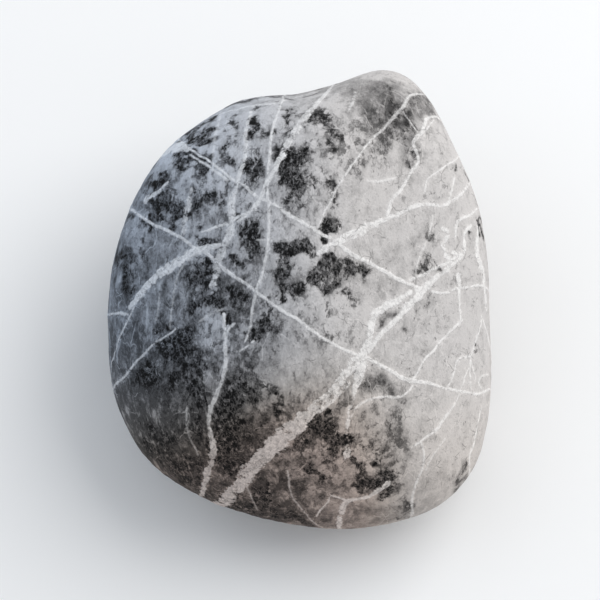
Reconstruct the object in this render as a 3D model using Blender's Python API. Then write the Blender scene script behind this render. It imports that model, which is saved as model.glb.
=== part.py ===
"""A river pebble: one closed solid of veined limestone, lying on a small worn flat.

Wear gives a pebble its shape. Its surface is described here as a rounded cobble with a number of
worn faces on it, each with the way it looks and its distance from the middle of the stone, all run
together with rounded edges. A few swellings finish the shape: a shoulder at one end of the far
edge, a shallow hollow beside it, two full corners on the near edge and a heel underneath.

The broad face leans a little towards -Y, as it does when the stone lies still on its underside,
and the underside ends in a small flat below the centre of mass.

Metres, +Z up. The origin is at the middle of the footprint, on the surface that the stone lies on.
"""

from dataclasses import dataclass
from math import cos, exp, pi, radians, sin, tan

import bmesh
import bpy
from mathutils import Matrix, Vector

MM = 0.001

# The driving dimensions. The blank and the worn faces are in millimetres.
FACE_LEAN = radians(20)  # how far the broad face leans from level, towards -Y
REST_DEPTH = 21.6 * MM  # from the middle of the stone down to the flat that it lies on
BLANK = (41.0, 44.5, 24.5)  # half-sizes of the rounded cobble before its faces were worn
EDGE_SHARPNESS = 12.0  # higher gives crisper edges between the worn faces
CELLS = 24  # quads along each side of the starting cube
CUT_TOLERANCE = 1e-6  # a vertex nearer than this to the flat's plane is taken to be on it

STONE_GREY = (0.36, 0.355, 0.35, 1.0)
STONE_ROUGHNESS = 0.62


@dataclass(frozen=True)
class WornFace:
    """One worn face: its outward direction, and its distance from the middle in millimetres.

    turn runs round the broad face in degrees, from +X towards the far edge. lift is the angle up
    from the rim towards the broad face, and is negative on the underside.
    """

    turn: float
    lift: float
    distance: float


@dataclass(frozen=True)
class Swelling:
    """A gentle rise in the surface, or a hollow where its height is negative.

    width is the angle, seen from the middle of the stone, at which it has faded to about a third.
    height is in millimetres.
    """

    turn: float
    lift: float
    width: float
    height: float


RIM = (
    WornFace(2, 4, 33.9),
    WornFace(24, 2, 35.1),
    WornFace(66, 0, 44.5),
    WornFace(97, 6, 36.1),
    WornFace(118, 2, 36.9),
    WornFace(138, 0, 35.9),
    WornFace(160, 0, 33.3),
    WornFace(182, 0, 33.7),
    WornFace(206, 0, 39.9),
    WornFace(226, -2, 43.0),
    WornFace(246, 0, 39.2),
    WornFace(268, 2, 45.6),
    WornFace(289, 0, 49.0),
    WornFace(330, 0, 47.0),
    WornFace(351, 0, 36.1),
)

BROAD_FACE = (
    WornFace(8, 62, 22.5),
    WornFace(160, 62, 22.5),
    WornFace(120, 42, 30.0),
    WornFace(352, 30, 30.5),
    WornFace(200, 34, 31.0),
    WornFace(265, 45, 30.5),
    WornFace(70, 40, 34.0),
)

UNDERSIDE = (
    WornFace(270, -70, 22.4),
    WornFace(268, -42, 29.3),
    WornFace(20, -44, 29.5),
    WornFace(95, -40, 34.0),
    WornFace(175, -44, 29.5),
    WornFace(235, -30, 34.5),
    WornFace(310, -34, 35.0),
)

SHOULDER = Swelling(66, 0, 12, 2.8)
FAR_HOLLOW = Swelling(87, 4, 8, -1.5)
NEAR_RIGHT_CORNER = Swelling(315, 0, 17, 2.2)
NEAR_LEFT_CORNER = Swelling(224, 0, 14, 1.0)
HEEL = Swelling(95, -66, 34, 2.6)
SWELLINGS = (SHOULDER, FAR_HOLLOW, NEAR_RIGHT_CORNER, NEAR_LEFT_CORNER, HEEL)


def direction(turn, lift):
    """The unit vector at these angles in degrees, in the stone's own frame."""
    t, rise = radians(turn), radians(lift)
    return Vector((cos(t) * cos(rise), sin(t) * cos(rise), sin(rise)))


FACE_PLANES = [(direction(f.turn, f.lift), f.distance * MM) for f in RIM + BROAD_FACE + UNDERSIDE]
RISES = [(direction(s.turn, s.lift), radians(s.width), s.height * MM) for s in SWELLINGS]


def reach(way):
    """How far the surface is from the middle of the stone along the unit vector way."""
    nearness = sum((part / (half * MM)) ** 2 for part, half in zip(way, BLANK))
    total = nearness ** (EDGE_SHARPNESS / 2)
    for normal, distance in FACE_PLANES:
        facing = normal.dot(way)
        if facing > 0:
            total += (facing / distance) ** EDGE_SHARPNESS
    surface = total ** (-1 / EDGE_SHARPNESS)
    for centre, width, height in RISES:
        surface += height * exp(-((centre.angle(way) / width) ** 2))
    return surface


def even_spacing(coordinate):
    """Spreads the quads of a cube's side evenly once the cube is blown up into a ball."""
    return tan(coordinate * pi / 4)


def worn_stone():
    """The whole stone round its middle, as a bmesh, before the flat is made."""
    stone = bmesh.new()
    bmesh.ops.create_cube(stone, size=2)
    bmesh.ops.subdivide_edges(stone, edges=stone.edges[:], cuts=CELLS - 1, use_grid_fill=True)
    for vertex in stone.verts:
        way = Vector(map(even_spacing, vertex.co)).normalized()
        vertex.co = way * reach(way)
    return stone


def cut_flat(stone):
    """Cuts the stone off level at height 0 and closes the cut with one flat face."""
    cut = bmesh.ops.bisect_plane(
        stone,
        geom=stone.verts[:] + stone.edges[:] + stone.faces[:],
        dist=CUT_TOLERANCE,
        plane_co=(0, 0, 0),
        plane_no=(0, 0, -1),
        clear_outer=True,
    )
    outline = [edge for edge in cut["geom_cut"] if isinstance(edge, bmesh.types.BMEdge)]
    bmesh.ops.contextual_create(stone, geom=outline)


def footprint_middle(stone):
    """The middle of the stone's box in X and Y, at height 0."""
    places = [vertex.co for vertex in stone.verts]
    middle_x = (min(p.x for p in places) + max(p.x for p in places)) / 2
    middle_y = (min(p.y for p in places) + max(p.y for p in places)) / 2
    return Vector((middle_x, middle_y, 0))


def lay_down(stone):
    """Leans the broad face, cuts the flat and centres the footprint on the origin."""
    bmesh.ops.rotate(stone, verts=stone.verts[:], matrix=Matrix.Rotation(FACE_LEAN, 3, "X"))
    bmesh.ops.translate(stone, verts=stone.verts[:], vec=(0, 0, REST_DEPTH))
    cut_flat(stone)
    bmesh.ops.translate(stone, verts=stone.verts[:], vec=-footprint_middle(stone))


def stone_material():
    """Dry limestone: mid grey, matt and not metallic."""
    material = bpy.data.materials.new("limestone")
    material.use_nodes = True
    shader = material.node_tree.nodes["Principled BSDF"]
    shader.inputs["Base Color"].default_value = STONE_GREY
    shader.inputs["Roughness"].default_value = STONE_ROUGHNESS
    shader.inputs["Metallic"].default_value = 0.0
    return material


def build_pebble(collection):
    """Makes the one solid of the part and puts it in the collection."""
    stone = worn_stone()
    lay_down(stone)
    bmesh.ops.recalc_face_normals(stone, faces=stone.faces[:])
    mesh = bpy.data.meshes.new("river_pebble")
    stone.to_mesh(mesh)
    stone.free()
    mesh.shade_smooth()
    mesh.materials.append(stone_material())
    pebble = bpy.data.objects.new("river_pebble", mesh)
    collection.objects.link(pebble)


def main():
    """Clears the scene and builds the pebble in a collection of its own."""
    for old in list(bpy.data.objects):
        bpy.data.objects.remove(old)
    collection = bpy.data.collections.new("river_pebble")
    bpy.context.scene.collection.children.link(collection)
    build_pebble(collection)


main()
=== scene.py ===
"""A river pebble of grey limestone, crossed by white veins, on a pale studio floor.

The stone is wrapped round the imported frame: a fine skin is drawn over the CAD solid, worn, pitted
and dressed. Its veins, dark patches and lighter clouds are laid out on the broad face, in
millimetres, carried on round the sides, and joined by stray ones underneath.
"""

import logging
import math
import random
from dataclasses import dataclass
from enum import Enum
from typing import Iterable, Sequence

import bpy
import numpy as np
from mathutils import Matrix, Vector, noise
from mathutils.bvhtree import BVHTree
from mathutils.kdtree import KDTree


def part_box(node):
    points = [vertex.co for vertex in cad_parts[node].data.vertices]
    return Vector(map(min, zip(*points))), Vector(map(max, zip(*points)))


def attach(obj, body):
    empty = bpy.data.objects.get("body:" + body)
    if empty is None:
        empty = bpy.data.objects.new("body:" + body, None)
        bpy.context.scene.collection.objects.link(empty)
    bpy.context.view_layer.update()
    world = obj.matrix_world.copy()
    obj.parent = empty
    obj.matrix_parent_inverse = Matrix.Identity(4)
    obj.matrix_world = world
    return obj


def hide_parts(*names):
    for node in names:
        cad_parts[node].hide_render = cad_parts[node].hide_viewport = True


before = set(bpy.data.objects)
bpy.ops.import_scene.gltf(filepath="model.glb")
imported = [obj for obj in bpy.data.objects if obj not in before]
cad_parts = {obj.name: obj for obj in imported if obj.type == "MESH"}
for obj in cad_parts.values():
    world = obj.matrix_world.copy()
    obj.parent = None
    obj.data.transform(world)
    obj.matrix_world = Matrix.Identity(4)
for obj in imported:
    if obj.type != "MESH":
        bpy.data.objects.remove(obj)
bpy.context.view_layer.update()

log = logging.getLogger("river_pebble")

MM = 0.001
CAD_NODE = "river_pebble"
BODY = "root"
NOISE_SEED = 7  # makes the strays of the noise the same on every run

FACE_LEAN = math.radians(20)  # how far the broad face leans over towards the front
FACE_FORWARD = 0.00023  # metres that the middle of the markings lies in front of the box's own
FACE_HEIGHT = 0.0216  # metres above the floor, at the middle of the markings
EYE_DISTANCE = 0.5556  # metres from there to the eye that looks square on to the face
OUTSIDE = 0.06  # metres from the middle of the stone to a place well off its skin

Point = tuple[float, float]
Span = tuple[float, float]
Scale = tuple[float, float, float]
Easing = tuple[float, ...]  # from a low to a high, then what it starts and ends at unless 0 and 1
Colour = tuple[float, float, float, float]
Feed = bpy.types.NodeSocket | float | Sequence[float]


# --------------------------------------------------------------------------------------------
# Where things are laid out
# --------------------------------------------------------------------------------------------


@dataclass(frozen=True)
class FaceChart:
    """The broad face seen square on from far away: the sheet that the markings are laid out on.

    A place on it is given in millimetres right of and up from the middle of the stone.
    """

    middle: Vector
    lean: float
    eye_distance: float

    def axes(self) -> tuple[Vector, Vector, Vector]:
        """The directions right, up along the face, and out of it."""
        turn = Matrix.Rotation(self.lean, 3, "X")
        return turn.col[0].copy(), turn.col[1].copy(), turn.col[2].copy()

    def eye(self) -> Vector:
        """The far point that the face is seen from."""
        return self.middle + self.axes()[2] * self.eye_distance

    def on_sheet(self, across: float, up: float) -> Vector:
        """The point of the sheet itself, level with the middle of the stone."""
        right, rise, _ = self.axes()
        return self.middle + (right * across + rise * up) * MM

    def cast(self, skin: BVHTree, across: float, up: float) -> Vector | None:
        """Carries a place from the sheet to the stone.

        Args:
            skin: the surface of the stone.
            across: millimetres right of the middle.
            up: millimetres up from the middle.

        Returns:
            The point on the skin, or None where the place is off the stone.
        """
        eye = self.eye()
        hit, _, _, _ = skin.ray_cast(eye, (self.on_sheet(across, up) - eye).normalized())
        return hit

    def measure(self, places: np.ndarray) -> np.ndarray:
        """Turns points in metres into millimetres right, up and out from the middle."""
        axes = np.array([list(axis) for axis in self.axes()])
        return (places - np.array(self.middle)) @ axes.T / MM


@dataclass(frozen=True)
class Vein:
    """One vein of white mineral, laid out on the broad face in millimetres.

    widths are read evenly along it. ragged breaks its edges up and faint thins it, both from 0
    to 1. before and after are how far it runs on over the stone past its first and last points.
    """

    path: tuple[Point, ...]
    widths: tuple[float, ...]
    ragged: float = 0.3
    faint: float = 0.0
    before: float = 0.0
    after: float = 0.0


@dataclass(frozen=True)
class Spot:
    """A soft-edged oval on the broad face: its middle, half-sizes, strength and turn in degrees."""

    at: Point
    size: Point
    strength: float
    turn: float = 0.0


@dataclass(frozen=True)
class RimTrim:
    """Where the rim stands off the CAD outline: bearing and spread in degrees, height in mm."""

    bearing: float
    spread: float
    height: float


RIM_TRIMS = (
    RimTrim(0, 8, -0.25),
    RimTrim(52, 9, -0.28),
    RimTrim(70, 6, 0.6),
    RimTrim(92, 8, -0.42),
    RimTrim(106, 8, 0.3),
    RimTrim(204, 11, 0.45),
    RimTrim(254, 14, 0.5),
    RimTrim(280, 14, 0.6),
    RimTrim(332, 16, 0.55),
)

TRUNK_VEINS = (
    Vein(
        ((-12.6, -33.5), (-10.2, -31), (-8, -28), (-5, -25), (-2.4, -22.4), (0.3, -20)),
        (1.9, 2.3, 2.5, 2.8, 2.6),
        ragged=0.28,
        before=34,
    ),
    Vein(
        ((0.3, -20), (2.2, -18.3), (4.6, -15.8), (6.9, -13.2), (8.9, -11.2), (10.4, -9.6)),
        (1.7, 1.3, 1.2, 1.3, 1.7),
        ragged=0.72,
    ),
    Vein(((3.2, -18.6), (5.2, -16.9), (6.6, -15.4), (8.2, -13.9)), (0.6, 0.8, 0.5), ragged=0.8),
    Vein(((10.4, -10.4), (10.1, -12), (9.4, -14.3)), (1.6, 1.7, 1.1), ragged=0.3),
    Vein(((9.2, -14.3), (8.9, -16.6), (8.1, -19.2), (7.9, -22.2)), (0.8, 0.6, 0.5), ragged=0.8),
    Vein(((7.9, -24.2), (8, -25.4), (7.7, -26.6)), (0.5, 1.1, 0.6), ragged=0.6),
    Vein(((10.4, -9.6), (11.5, -6.1), (12.1, -3.4), (12.4, -2.3)), (1.2, 1.1, 1.3), ragged=0.25),
    Vein(((12, -3), (13.5, -1.7), (16.1, 0), (18.2, 1.3), (20.6, 2.0)), (1.2, 1.4, 0.9, 0.8)),
    Vein(
        ((10.6, -9.6), (12.5, -6.9), (14.5, -4.6), (16.3, -2.9), (17.7, -1.2), (19.8, 0.6)),
        (1.0, 0.9, 1.0, 1.5),
        ragged=0.25,
    ),
    Vein(
        ((19.6, 0.5), (21, 2), (23.2, 4.3), (25, 5.6), (27.4, 7.6)),
        (1.4, 1.0, 0.8, 0.6),
        ragged=0.3,
    ),
    Vein(((18.1, 3.1), (20.4, 4.1), (22.7, 5.4), (24.7, 6.4), (27, 7.6)), (0.5, 0.5, 0.7)),
)

DIAGONAL_VEINS = (
    Vein(
        (
            (-28.1, 15.1), (-25.6, 13.2), (-22.7, 11.9), (-19.8, 10.4), (-17.6, 8.6), (-16, 8),
            (-13.8, 6.4), (-11.3, 4.2), (-8.2, 2.2), (-4.9, -0.5), (-1.5, -2.6), (2.8, -5.6),
            (5.6, -7.3), (8.4, -8.7), (11, -9.7), (13.2, -10.8), (15.5, -12), (17.1, -13.1),
            (21.2, -13.9), (23.7, -14.7), (26, -15.1), (29.3, -15.8),
        ),
        (0.5, 0.6, 0.6, 0.7, 0.5, 0.6, 0.6, 0.6, 0.9, 0.6, 0.5),
        ragged=0.22,
        before=26,
        after=18,
    ),
    Vein(
        (
            (-20, 26.5), (-17.4, 24.6), (-15, 23), (-12, 20.6), (-9.6, 19.2), (-7.6, 17.5),
            (-5.2, 16.3), (-1.9, 14.2), (0.9, 12.5), (3.2, 11.2), (5.8, 9.8), (8.1, 8.1),
            (12.2, 5.7), (15, 4.2), (17.8, 2.7), (20.8, 1.7),
        ),
        (0.45, 0.45, 0.5, 0.6, 0.7, 0.6, 0.8, 0.8, 0.7),
        ragged=0.25,
        before=30,
    ),
    Vein(((-18.4, 24.5), (-15, 22), (-12.2, 20)), (0.35, 0.5, 0.4), ragged=0.3, faint=0.1),
)

UPPER_VEINS = (
    Vein(
        (
            (6.6, 37.2), (5.2, 35.5), (3, 33), (0.7, 30.2), (-2.2, 26), (-4, 21.9),
            (-5.7, 19), (-6.6, 16.9), (-8.2, 14.8), (-10.2, 13.3),
        ),
        (0.7, 1.0, 1.2, 1.2, 1.0, 0.9, 0.8, 0.6),
        ragged=0.5,
        before=22,
    ),
    Vein(((-7.4, 15.2), (-12.7, 12.7), (-14.6, 12), (-16.5, 11.3)), (0.6, 0.7, 0.4), ragged=0.4),
    Vein(
        (
            (-3.4, 32.4), (-4.7, 27.9), (-5.2, 21.6), (-5.3, 15.8), (-5.2, 11), (-6, 5.6),
            (-7, 2.6), (-7.9, -1.6), (-8.4, -4.8), (-9.2, -7),
        ),
        (0.5, 0.6, 0.5, 0.6, 0.5, 0.6, 0.6, 0.3),
        ragged=0.18,
        before=14,
    ),
    Vein(
        ((-13.8, 31), (-10.5, 31.8), (-7.5, 32.5), (-4.2, 32.9), (-0.5, 33.8), (2.5, 34.6)),
        (0.35, 0.5, 0.6, 0.35, 0.3),
        ragged=0.3,
        faint=0.15,
    ),
    Vein(((-25.8, 16.7), (-23.9, 17.8), (-22, 19.7)), (1.1, 0.8, 0.4), ragged=0.5),
    Vein(
        (
            (-8.3, 31.4), (-9, 28), (-9.3, 24), (-10.3, 20), (-11.3, 16.7), (-11.6, 12.2),
            (-12.5, 9.3), (-13.4, 6.9), (-14, 4.2), (-14.6, 2.2),
        ),
        (0.6, 0.9, 0.8, 1.1, 1.2, 1.3, 1.0),
        ragged=0.5,
        faint=0.14,
    ),
    Vein(((-18.2, 18.6), (-18.9, 14.4), (-19.4, 11.1)), (0.6, 1.0, 0.8), ragged=0.6, faint=0.25),
    Vein(((-22.8, 24), (-20.9, 25.4), (-18.8, 25.2)), (1.6, 2.8, 1.0), ragged=0.2, faint=0.12),
    Vein(((-13.2, 31.4), (-14.2, 27.5), (-14.6, 23.4)), (0.4, 0.6, 0.3), ragged=0.6, faint=0.5),
    Vein(((-7.2, 10.1), (-4, 9.9), (-1.4, 9.7)), (0.22,), faint=0.3),
    Vein(
        (
            (22, 34.4), (20.4, 34.2), (18.3, 34), (17.2, 32.2), (15.2, 30.2), (12.9, 27.6),
            (10.6, 25.3), (8.9, 22.7), (6.9, 19.9), (5.4, 17), (4, 14.4), (2.9, 12.1),
        ),
        (0.4, 0.7, 0.5, 0.4, 0.4, 0.4, 0.35, 0.3),
        ragged=0.15,
        before=12,
    ),
    Vein(((9.3, 34.6), (8.9, 33), (8, 31.6)), (0.4, 0.6, 0.5), ragged=0.5, faint=0.2),
    Vein(
        (
            (24.6, 29.2), (22.9, 30.4), (21.2, 30.2), (20.4, 28.2), (18.9, 26), (19.8, 23.3),
            (18.4, 21), (16.6, 18.1), (15.2, 16.4), (14.5, 14.1),
        ),
        (0.5, 0.7, 0.9, 0.6, 0.6, 0.7, 0.6),
        ragged=0.25,
        before=20,
    ),
    Vein(
        (
            (28.7, 20.4), (27.5, 18.4), (25.5, 16.6), (23.2, 15.7), (20.4, 15.8), (17.5, 14.9),
            (14.6, 13.5), (11.8, 12.4), (8.9, 10.9), (6, 9.5), (3.1, 7.7),
        ),
        (0.5, 0.7, 0.6, 0.8, 0.8, 1.0, 1.6, 1.1, 0.7),
        ragged=0.48,
        before=16,
    ),
    Vein(((25.8, 23.3), (23.2, 21.6), (21.2, 20.1), (20.8, 18.1)), (0.3,), ragged=0.2, before=9),
    Vein(((25.8, 20.4), (25.2, 18.3), (24.7, 16.6)), (0.4,), ragged=0.2),
    Vein(((17.2, 31.4), (18.6, 29.4), (19.9, 27.6)), (0.3,), ragged=0.3),
    Vein(((19.9, 27.6), (21, 28.4), (22.4, 29.9)), (0.3,), ragged=0.3),
    Vein(((11.2, 19.9), (13.5, 19.7), (16.1, 20.4)), (0.3, 0.45, 0.3), ragged=0.4, faint=0.2),
    Vein(((22, 13.8), (21.2, 10.4), (19.8, 7), (19.2, 4.1)), (0.3,), faint=0.25),
)

RIGHT_VEINS = (
    Vein(((28.4, 14.1), (26.2, 12.8), (25.9, 10.6)), (0.5, 0.6, 0.4), ragged=0.3, before=8),
    Vein(((28.5, 12.4), (27.5, 11), (27.4, 7.8), (25.2, 8.1)), (0.6, 0.8, 0.7), ragged=0.4),
    Vein(
        ((23.5, 12.1), (24.6, 11), (23.9, 9.2), (24.7, 7.2), (24.7, 5.2)),
        (0.9, 0.8, 1.1, 0.8),
        ragged=0.6,
    ),
    Vein(((22.1, 1.4), (24.7, 1.2), (26.1, 2), (29.8, 2.3)), (0.5,), ragged=0.2, after=12),
    Vein(((26.3, 4), (26.5, 1.2), (26.8, -3.6)), (1.0, 0.5, 0.4), ragged=0.3),
    Vein(((29.6, 12), (29.7, 7.2), (30.4, 4.3), (30.9, -1.4)), (0.8, 1.3, 1.1), ragged=0.5),
    Vein(((27, -3.3), (24.2, -6.1), (21.7, -8.9), (19.6, -11.7), (18.7, -13.4)), (0.5, 0.4)),
    Vein(((30.1, -3.4), (29.3, -7.2), (28.3, -9.6), (28.3, -11.8), (28.4, -14.9)), (0.45, 0.35)),
    Vein(((28.3, -9.6), (29.2, -13.3)), (0.4, 0.3)),
    Vein(((28.3, -9.4), (26.4, -10), (25.7, -11.8), (24.7, -14.5)), (0.4, 0.35)),
    Vein(((28.3, -11.2), (27.3, -13), (26.8, -14.8)), (0.3,)),
    Vein(((31.4, -12.4), (30.2, -12.7), (29.7, -13.7), (30.2, -14.7)), (0.35,), faint=0.25),
    Vein(
        (
            (18.7, -14.4), (17.6, -15.6), (16.3, -16.2), (13.2, -16.1), (11, -16.9),
            (9.4, -17.9), (8.4, -19.7),
        ),
        (0.3, 0.5, 0.45, 0.45, 0.3),
        ragged=0.3,
    ),
    Vein(
        ((26, -17.1), (24.2, -19.7), (22.2, -22), (20.1, -23.5), (18.6, -24.6)),
        (0.3, 0.6, 0.9, 0.5, 0.3),
        ragged=0.3,
        before=3,
    ),
    Vein(
        ((20.2, -23.6), (20.8, -26), (20.1, -28.8), (18.9, -31.9), (18.6, -35.5)),
        (0.35, 0.5, 0.5, 0.6),
        ragged=0.3,
        after=24,
    ),
    Vein(((24.2, -23.2), (22.4, -25.5), (20.9, -28.3)), (0.3,), faint=0.2),
    Vein(((30.1, -17.6), (29.6, -20.5), (29.1, -23.2), (28.3, -25.8), (28.4, -28)), (0.5, 0.6), after=16),
)

LOWER_VEINS = (
    Vein(
        (
            (14.6, -30.8), (12.5, -32.2), (10.4, -33.2), (8.1, -33.5), (7.1, -34.3),
            (6.6, -36.5), (6.6, -38.3),
        ),
        (1.1, 0.9, 0.8, 1.0, 0.9),
        ragged=0.3,
        after=28,
    ),
    Vein(((8, -33.5), (5.3, -32.5), (4.6, -33.7), (2.8, -36)), (0.4, 0.4, 0.3)),
    Vein(((-2.1, -28.3), (-1.6, -31.7), (0, -34.4), (1.5, -36.4)), (0.25,), faint=0.2, after=10),
    Vein(((-9, -31), (-7, -35)), (0.25,), faint=0.2),
    Vein(
        (
            (-12.6, -2.4), (-12.5, -5.7), (-12.4, -10.1), (-12.7, -12.8), (-13.8, -15.5),
            (-14.9, -18.3), (-15.4, -20.6),
        ),
        (0.5, 0.8, 0.8, 0.7, 0.9, 0.7),
        ragged=0.4,
    ),
    Vein(
        ((-15.2, -21.2), (-14.3, -24.6), (-15.2, -28), (-16.2, -32)),
        (0.8, 1.2, 1.1, 0.9),
        ragged=0.45,
        after=22,
    ),
    Vein(((-10.9, -3.9), (-12.4, -5.6)), (0.4,), ragged=0.4),
    Vein(((-7.8, -6.8), (-8.8, -7.6), (-10, -8.4)), (0.4,), ragged=0.4),
    Vein(((-19, -18), (-18.5, -22), (-17, -26)), (0.3,), ragged=0.4, faint=0.35),
)

LEFT_VEINS = (
    Vein(
        (
            (-12.7, 9.3), (-14.9, 8.8), (-17.1, 8.1), (-19.4, 7.2), (-21.6, 5.5),
            (-23.4, 4.2), (-25.4, 2.2), (-27.2, 0.2), (-28.3, -1.3),
        ),
        (0.7, 1.1, 1.5, 1.6, 1.3, 1.1, 0.9),
        ragged=0.32,
    ),
    Vein(((-27.6, -1.2), (-29.2, -4.3), (-30.5, -7.9), (-31.4, -10.8)), (0.5, 0.4), after=20),
    Vein(((-28.6, -2.2), (-30.5, -2.1), (-31.9, -2.5)), (0.5,), ragged=0.3, after=16),
    Vein(
        ((-20.7, -4.8), (-22.5, -6.1), (-24.3, -7.2), (-26.1, -9), (-27.9, -11), (-30.1, -13.6)),
        (0.3, 0.45, 0.45, 0.5),
        after=24,
    ),
    Vein(((-19.4, 6.2), (-20.7, 3.3), (-21.2, -0.1), (-21.6, -4.5)), (0.25,), faint=0.35),
    Vein(((-23.4, 1), (-24.1, -3.4)), (0.2,), faint=0.45),
    Vein(((-16.8, -3.6), (-14.6, -2.2), (-12.8, -1.6)), (0.3,), faint=0.4, ragged=0.5),
)

DARK_SPOTS = (
    # broad, thinly speckled areas
    Spot((-19, 17), (12, 14), 0.14),
    Spot((-15, -14), (11, 20), 0.3),
    Spot((-5, 10), (9, 20), 0.14),
    Spot((4, -23), (14, 10), 0.26),
    Spot((5, 24), (6, 7), 0.16),
    Spot((5, -4), (6, 5), 0.12),
    Spot((14, 26), (8, 8), 0.14),
    Spot((24, 6), (6, 10), 0.08),
    # upper left
    Spot((-23.2, 19.6), (2.6, 1.4), 0.72, 12),
    Spot((-22.4, 15.4), (3, 3), 0.6),
    Spot((-24, 13.4), (1.5, 1.1), 0.7),
    Spot((-20.2, 13.2), (1.3, 1.7), 0.75),
    Spot((-18.6, 24), (1.6, 1), 0.85, -20),
    Spot((-16.6, 21.8), (1.1, 2.4), 0.85, 18),
    Spot((-17, 27.1), (2, 1.3), 0.78, 15),
    Spot((-14.6, 28.5), (1.3, 1.2), 0.66),
    Spot((-10.9, 29), (0.9, 0.8), 0.66),
    Spot((-11.6, 24.6), (0.8, 2.6), 0.6),
    Spot((-7.3, 28), (1, 3), 0.86),
    # painted shade: the dark strip along the crease at the top, where the facet past it turns away from
    # the light
    Spot((-5, 34.4), (9, 1), 0.42, 7),
    Spot((-8, 21.6), (1.6, 3.2), 0.97),
    Spot((-13.9, 17.8), (1.6, 1.5), 0.5),
    Spot((-16.9, 15.8), (1.5, 2.4), 0.5),
    Spot((-10.8, 13.5), (1.2, 0.8), 0.75),
    Spot((-15.2, 10.3), (1.5, 0.9), 0.7),
    Spot((-28, 13.6), (0.8, 0.9), 0.4),
    Spot((-28.6, 4.4), (1.2, 4.4), 0.66),
    Spot((-25.4, 7), (1, 2.8), 0.6),
    # upper middle
    Spot((-1, 20.4), (1.8, 5.4), 0.97),
    Spot((-3.2, 24.4), (0.7, 1.8), 0.6),
    Spot((-2.2, 29.6), (0.9, 2.6), 0.6),
    Spot((2.6, 29.4), (2.8, 1.7), 0.6),
    Spot((5.4, 26.6), (1.6, 1.2), 0.38),
    Spot((2.2, 19.6), (0.9, 1.6), 0.4),
    Spot((5.2, 17), (1, 3), 0.42, 20),
    Spot((4.9, 12.2), (2.1, 1.5), 0.76, -28),
    Spot((4.2, 10), (0.6, 0.5), 0.8),
    # middle
    Spot((-7.7, 10.6), (2, 2.9), 0.72),
    Spot((-9.9, 6), (1, 0.8), 0.82, -10),
    Spot((-1, 7.9), (2.5, 1.4), 0.95, 8),
    Spot((-3.2, 5.1), (1.1, 2.7), 0.92, -8),
    Spot((3.2, 5.6), (0.9, 1.7), 0.92, -8),
    Spot((2.8, 2.8), (1.5, 1), 0.85),
    Spot((6.6, 4.4), (3.2, 2.3), 0.66, 22),
    Spot((9, 5), (1.1, 1.2), 0.6, 35),
    Spot((-1.5, 1.2), (1.9, 1.3), 0.62, 20),
    Spot((4.9, -2.4), (0.35, 3.4), 0.36, -4),
    Spot((8.4, 0.3), (1.2, 1.1), 0.42, -30),
    Spot((-9.8, 0.7), (2.7, 1.5), 0.55),
    Spot((-15.4, 4), (2.8, 2.2), 0.55),
    Spot((-14.6, -0.6), (3, 1.3), 0.86, -8),
    Spot((-11.5, -2.3), (1, 1), 0.95),
    Spot((-6.1, -4.5), (2.3, 2.1), 0.7),
    Spot((-7.6, -11.4), (0.8, 2.2), 0.55, 20),
    Spot((-20.6, -13.2), (1, 2.6), 0.5, -15),
    Spot((-5, -3), (1.7, 2.9), 0.4),
    # lower left
    Spot((-20.4, -6.8), (2.5, 3.2), 0.82, 12),
    Spot((-19, -8.6), (1.3, 2), 0.9),
    Spot((-25, -12.2), (1.7, 2.9), 0.84),
    Spot((-15.6, -20.4), (2, 1.6), 0.5),
    Spot((-16.9, -13.4), (1.3, 4.4), 0.92, 6),
    Spot((-11.4, -16.8), (1.8, 4.8), 0.94),
    Spot((-8.8, -15), (2, 0.8), 0.8),
    Spot((-11.7, -25.6), (2, 4.2), 0.94, 8),
    Spot((-3.6, -16.4), (0.4, 2), 0.75, 28),
    Spot((-24.5, -23.5), (1.3, 1.6), 0.85),
    Spot((-6.2, -32.8), (2.2, 2), 0.72, -12),
    Spot((-2, -35.4), (4, 0.9), 0.55, -8),
    Spot((-19.6, -27.4), (3.8, 1.3), 0.5, -38),
    Spot((-22, -26), (6, 3), 0.4, -45),
    Spot((-11, -35), (8, 2.4), 0.5, -16),
    # lower right
    Spot((4.8, -21.6), (2.2, 3.3), 0.78),
    Spot((2, -19.8), (1.3, 1.6), 0.6),
    Spot((9.6, -26.6), (2.9, 0.85), 0.92, -30),
    Spot((13.7, -30.2), (1.8, 2.1), 0.82),
    Spot((2.8, -27.9), (1.7, 0.6), 0.88, -38),
    Spot((6.6, -24.8), (2.2, 0.6), 0.7, -42),
    Spot((12, -24.4), (3.2, 1.3), 0.24, -40),
    Spot((0.4, -23.4), (1, 2.2), 0.5, -20),
    Spot((10.2, -30.2), (1.5, 1.4), 0.62),
    Spot((11.4, -13.6), (2, 1.7), 0.34, -5),
    Spot((14.8, -14.4), (2.2, 1.3), 0.2, -12),
    Spot((15.6, -22), (2.6, 3), 0.12),
    Spot((26.7, -29.4), (1.6, 2.2), 0.36, -30),
    Spot((17.5, -34.4), (2.4, 1.4), 0.4, 22),
    Spot((14.2, -3.2), (2.3, 0.9), 0.36, 42),
    Spot((20.8, -0.8), (2, 0.8), 0.3, 35),
    Spot((28.8, -6.6), (0.4, 1.2), 0.6),
    # upper right
    Spot((15.4, 32.6), (1.2, 2.8), 0.36, 12),
    Spot((14.6, 26.4), (3.4, 1.6), 0.22, 20),
    Spot((17.6, 28.8), (2, 1.6), 0.26),
    Spot((17.6, 24), (1.4, 2), 0.32),
    Spot((18.4, 22.6), (0.9, 0.9), 0.4),
    Spot((29.6, 12), (0.45, 1.4), 0.85),
    Spot((21.3, 10), (0.8, 1), 0.36),
    Spot((20, 5.4), (2.8, 0.7), 0.4, 32),
    Spot((27.1, 21.2), (0.4, 1.4), 0.45, 20),
    Spot((9.2, 22.4), (0.6, 0.6), 0.42),
)

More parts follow.
